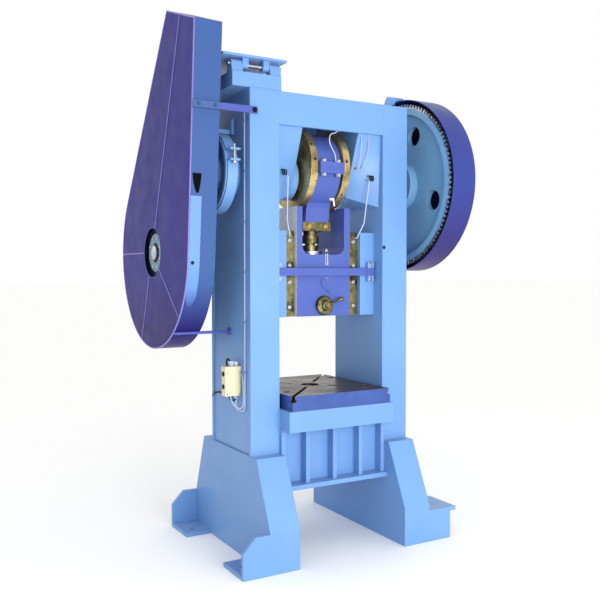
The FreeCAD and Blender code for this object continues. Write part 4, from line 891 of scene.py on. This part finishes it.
def buildTubes():
    # pairs of tubes rise from the right housing's face to the crown
    addTube("housingTubeInner", [(230, -196, 2396), (230, -225, 2396), (232, -240, 2440), (232, -250, 2509),
                                 (232, -256, 2614)], tubeSize["small"], nylonTube, "frame")
    addTube("housingTubeOuter", [(261, -196, 2399), (261, -228, 2399), (268, -240, 2440), (286, -252, 2481),
                                 (290, -256, 2614)], tubeSize["small"], nylonTube, "frame")
    for name, x, z in (("unionInner", 230, 2396), ("unionOuter", 261, 2399)):
        addUnion(name, (x, -186, z), (0, -1, 0))
    # hose from the crown to the pitman cap
    hose = addTube("pitmanHose", [(52, -258, 2621), (40, -258, 2598), (-10, -262, 2590), (-16, -262, 2540),
                                  (5, -262, 2500), (24, -264, 2470), (30, -266, 2440), (34, -264, 2395)],
                   tubeSize["hose"], nylonTube, None)
    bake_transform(hose)
    addUnion("hoseUnionTop", (52, -258, 2606), (0, 0, 1))
    # black clamps that hold the gib tubes against the housings
    for name, side in (("leftTubeClamp", -1), ("rightTubeClamp", 1)):
        for k, shift in enumerate((-9, 9)):
            x = side * 322 + shift
            half = [(6, -200, 2352), (6, -240, 2352), (6, -243, 2335), (4, -243, 2318)]
            bend = [(x - dx, y, z) for dx, y, z in half] + [(x + dx, y, z) for dx, y, z in reversed(half)]
            addTube(name + "%d" % k, bend, tubeSize["clamp"], blackSteel, "frame")


buildTubes()
print("tubes run")


# ---- slide and pitman fittings

def buildSlideFittings():
    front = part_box("slide")[0][1] / mm
    for name, x in (("slideRodLeft", 14), ("slideRodRight", 28)):
        addTube(name, [(x, front - 3, 1846), (x, front - 3.2, 1820), (x, front - 3.2, 1795), (x, front - 3, 1770)], 2.6,
                turnedSteel, "ram")
    addScrews("slideRodScrew", [(Vector((21, front, 1866)) * mm, Vector((0, -1, 0)), 9)],
              {**hexHead, "headHeight": 5 * mm, "washerHeight": 1 * mm}, body="ram")
    addTube("slideHook", [(-10, front - 3, 1692), (-18, front - 3.6, 1668), (-14, front - 3.6, 1640),
                          (8, front - 3.6, 1622), (28, front - 3.6, 1610), (43, front - 3, 1592)], 3.4, slideEnamel,
            "ram")
    addScrews("slideHookScrew", [(Vector((26, front, 1690)) * mm, Vector((0, -1, 0)), 7)],
              {**socketHead, "headHeight": 6 * mm}, body="ram")
    # white pointer beside the pitman, bent from strip
    vertices, faces = joined([
        slab([(52, -159, 2187), (86, -159, 2187), (86, -159, 2201), (52, -159, 2201)], (0, -1, 0), 4),
        slab([(81, -159, 2150), (92, -159, 2151), (86, -159, 2189), (75, -159, 2189)], (0, -1, 0), 4),
    ])
    addPiece("anglePointer", vertices, faces, whiteLacquer, "pitman", "cream_enamel")


def buildClampNut():
    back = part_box("slide")[0][1] / mm - 0.3
    z = 1515
    size = {"radius": 62, "length": 26, "boss": 30, "bossLength": 16, "ribs": 36, "ribDepth": 3.2}
    reach = size["length"] + size["bossLength"]
    profile = [(size["radius"] - 4, 0), (size["radius"], 4), (size["radius"], 19), (size["radius"] - 5, 24),
               (size["radius"] - 13, 26), (size["boss"] + 6, 26), (size["boss"], 29), (size["boss"], reach - 4),
               (size["boss"] - 4, reach), (12, reach), (11, reach - 6)]
    nut = lathe(profile, (0, back, z), (0, -1, 0), steps=216, ribs=size["ribs"], ribDepth=size["ribDepth"],
                ribRows=(1, 2))
    lever = Vector((1, 0, 0.35)).normalized()
    start = Vector((0, back - 33, z))
    arm = lathe([(7, 26), (8, 30), (6.2, 60), (6.2, 100), (8, 106), (12, 110), (14.5, 119), (14.5, 124), (12, 132),
                 (5, 136)], start, lever, steps=28)
    vertices, faces = joined([nut, arm])
    piece = addPiece("shankClampNut", vertices, faces, bronze, "clamp", "brass")
    for polygon in piece.data.polygons:
        polygon.use_smooth = len(polygon.vertices) == 4
    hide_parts("clamp_nut")


buildSlideFittings()
buildClampNut()
print("slide fitted")


# ---- lubricator

def buildLubricator():
    low, high = boxInMm("lubricator")
    size = {"lid": 26, "proud": 1.5, "sight": 11}
    x0, y0, y1 = low.x - size["proud"], low.y - size["proud"], high.y + size["proud"]
    vertices, faces = slab([(x, y, high.z - size["lid"]) for x, y in ((high.x, y0), (high.x, y1), (x0, y1), (x0, y0))],
                           (0, 0, 1), size["lid"] + 2)
    addPiece("lubricatorLid", vertices, faces, creamEnamel, "frame", "cream_enamel")
    for name, z in (("sightUpper", high.z - 44), ("sightLower", low.z + 56)):
        profile = [(size["sight"] + 4, 0), (size["sight"] + 4, 3), (size["sight"] + 1, 5), (size["sight"], 5),
                   (size["sight"], 1.5), (3, 1.5)]
        addLathe(name, profile, (low.x, (low.y + high.y) / 2, z), (-1, 0, 0), blackRubber, "frame", "black_steel",
                 steps=36)
    middle = (low + high) / 2
    addLathe("lubricatorKnob", [(8, 0), (8, 10), (13, 12), (13, 24), (11, 27), (4, 28)],
             (middle.x + 30, middle.y, high.z), (0, 0, 1), whiteLacquer, "frame", "cream_enamel", steps=90,
             ribs=15, ribDepth=1.4, ribRows=(2, 3))
    addScrews("lubricatorScrews", [(Vector((x, low.y, z)) * mm, Vector((0, -1, 0)), 5)
                                   for x in (low.x + 12, high.x - 12) for z in (low.z + 12, high.z - size["lid"] - 12)],
              {**socketHead, "headHeight": 6 * mm})
    # black feed hose over the tank and down its back, and the lead behind it: both end on the press
    addTube("lubricatorHose", [(middle.x - 4, middle.y, high.z + 10), (middle.x - 8, middle.y + 4, high.z + 38),
                               (middle.x - 6, high.y + 22, high.z + 44), (middle.x, high.y + 36, high.z + 10),
                               (middle.x + 8, high.y + 34, middle.z), (middle.x + 10, high.y + 30, low.z + 6),
                               (middle.x + 12, high.y + 10, low.z - 34), (middle.x + 16, middle.y, low.z - 36),
                               (middle.x + 30, middle.y, low.z - 16)], tubeSize["feed"], blackRubber, "frame")
    addTube("lubricatorLead", [(high.x - 9, high.y + 60, low.z - 30), (high.x - 7, high.y + 120, low.z - 26),
                               (high.x - 7, 150, low.z - 18), (high.x - 7, 206, low.z - 24),
                               (high.x - 7, 262, low.z - 40), (high.x - 7, 278, low.z - 60)],
            tubeSize["lead"], blackRubber, "frame")
    # clear return tube in a low loop
    addTube("returnTube", [(middle.x - 14, low.y + 14, low.z - 2), (middle.x - 12, low.y + 2, low.z - 34),
                           (middle.x + 6, low.y - 22, low.z - 66), (high.x - 22, low.y - 44, low.z - 78),
                           (high.x - 12, low.y - 58, low.z - 44), (high.x - 10, low.y - 54, low.z + 20),
                           (high.x - 10, low.y - 40, high.z - 60), (high.x - 10, low.y - 14, high.z - 40),
                           (high.x - 12, low.y + 2, high.z - 40)], tubeSize["return"], nylonTube, "frame")


buildLubricator()
print("lubricator finished")


# ---- frame details that show from the sides and the back

def buildFrameDetails():
    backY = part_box("left_column")[1][1] / mm
    size = {"width": 118, "height": 300, "thickness": 6, "edge": 16, "low": 1180}
    for name, x in (("leftBackCover", -477.5), ("rightBackCover", 477.5)):
        halfWidth = size["width"] / 2
        z0, z1 = size["low"], size["low"] + size["height"]
        vertices, faces = slab([(x + halfWidth, backY, z0), (x - halfWidth, backY, z0), (x - halfWidth, backY, z1),
                                (x + halfWidth, backY, z1)], (0, 1, 0), size["thickness"])
        addPiece(name, vertices, faces, frameEnamel, "frame", "frame_blue")
        inwards = halfWidth - size["edge"]
        spots = [(Vector((screwX, backY + size["thickness"], z)) * mm, Vector((0, 1, 0)), 7)
                 for screwX in (x - inwards, x + inwards)
                 for z in (z0 + size["edge"], (z0 + z1) / 2, z1 - size["edge"])]
        addScrews(name + "Screws", spots, hexHead)
    # pedestal feet are bolted through the columns' back plates
    for side in ("left", "right"):
        low, high = boxInMm(side + "_drive_pedestal")
        spots = [(Vector((x, backY + 30, z)) * mm, Vector((0, 1, 0)), 12)
                 for x in (low.x + 12, high.x - 12) for z in (low.z + 14, high.z - 14)]
        addScrews(side + "PedestalBolts", spots, hexHead)
    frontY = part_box("left_column")[0][1] / mm
    addLathe("columnPlug", [(11, 0), (11, 2), (9, 4), (3, 4)], (392, frontY, 1888), (0, -1, 0), blackSteel, "frame",
             "black_steel", steps=32)
    # plug and grub screw in the rim of each crank cheek
    low, high = boxInMm("crankshaft")
    centre = (low.z + high.z) / 2
    radius = (high.z - low.z) / 2
    spots = []
    for x, turn, size in ((-116, 8, 8), (-104, -22, 4), (-124, 30, 6), (118, 8, 8), (118, -40, 6)):
        angle = math.radians(turn)
        way = Vector((0, -math.cos(angle), math.sin(angle)))
        place = Vector((x, -radius * math.cos(angle), centre + radius * math.sin(angle)))
        spots.append((place * mm, way, size))
    addScrews("cheekPlugs", spots, {**socketHead, "headHeight": 4 * mm, "washerHeight": 0.3 * mm}, blackSteel, "crank")


def buildBrakeSpring():
    low, high = boxInMm("brake_band")
    x = (low.x + high.x) / 2
    y = low.y + 15
    z0 = crankAxis.z / mm + 48
    z1 = crankAxis.z / mm + 122
    addLathe("brakeTieBolt", [(11, -14), (12.5, -12), (12.5, -2), (6, -1), (6, z1 - z0 + 24), (5, z1 - z0 + 26)],
             (x, y, z0), (0, 0, 1), turnedSteel, "frame", "bright_steel", steps=36)
    turns = 6
    coil = []
    for k in range(turns * 12 + 1):
        angle = 2 * math.pi * k / 12
        coil.append((x + 11 * math.cos(angle), y + 11 * math.sin(angle), z0 + 14 + (z1 - z0 - 28) * k / (turns * 12)))
    addTube("brakeSpring", coil, 2.2, turnedSteel, "frame", sides=2)


buildFrameDetails()
buildBrakeSpring()
print("frame detailed")


# ---- studio

studio = {"floorSize": 300, "floorHex": "FDFDFC", "worldHex": "FFFFFF", "worldStrength": 1.0}


def addArea(name, place, target, size, power):
    data = bpy.data.lights.new(name, "AREA")
    data.size = size
    data.energy = power
    lamp = bpy.data.objects.new(name, data)
    lamp.location = place
    lamp.rotation_euler = (Vector(target) - Vector(place)).to_track_quat("-Z", "Y").to_euler()
    bpy.context.scene.collection.objects.link(lamp)


def buildStudio():
    half = studio["floorSize"] / 2
    mesh = bpy.data.meshes.new("studioFloor")
    mesh.from_pydata([(-half, -half, 0), (half, -half, 0), (half, half, 0), (-half, half, 0)], [], [(0, 1, 2, 3)])
    floor = bpy.data.objects.new("studioFloor", mesh)
    bpy.context.scene.collection.objects.link(floor)
    material, tree, shader, place = newMaterial("paleFloor")
    shader.inputs["Base Color"].default_value = linearColour(studio["floorHex"])
    shader.inputs["Roughness"].default_value = 0.7
    mesh.materials.append(material)
    world = bpy.data.worlds.new("studioWorld")
    world.use_nodes = True
    world.node_tree.nodes["Background"].inputs[0].default_value = linearColour(studio["worldHex"])
    world.node_tree.nodes["Background"].inputs[1].default_value = studio["worldStrength"]
    bpy.context.scene.world = world
    # one large soft box far off to the front right, so that the left faces stay in shade
    addArea("keyLight", (-0.4, -5.2, 1.5), (0, 0, 1.5), 2.8, 205)
    bpy.context.scene.view_settings.view_transform = "Standard"


buildStudio()
print("studio ready")
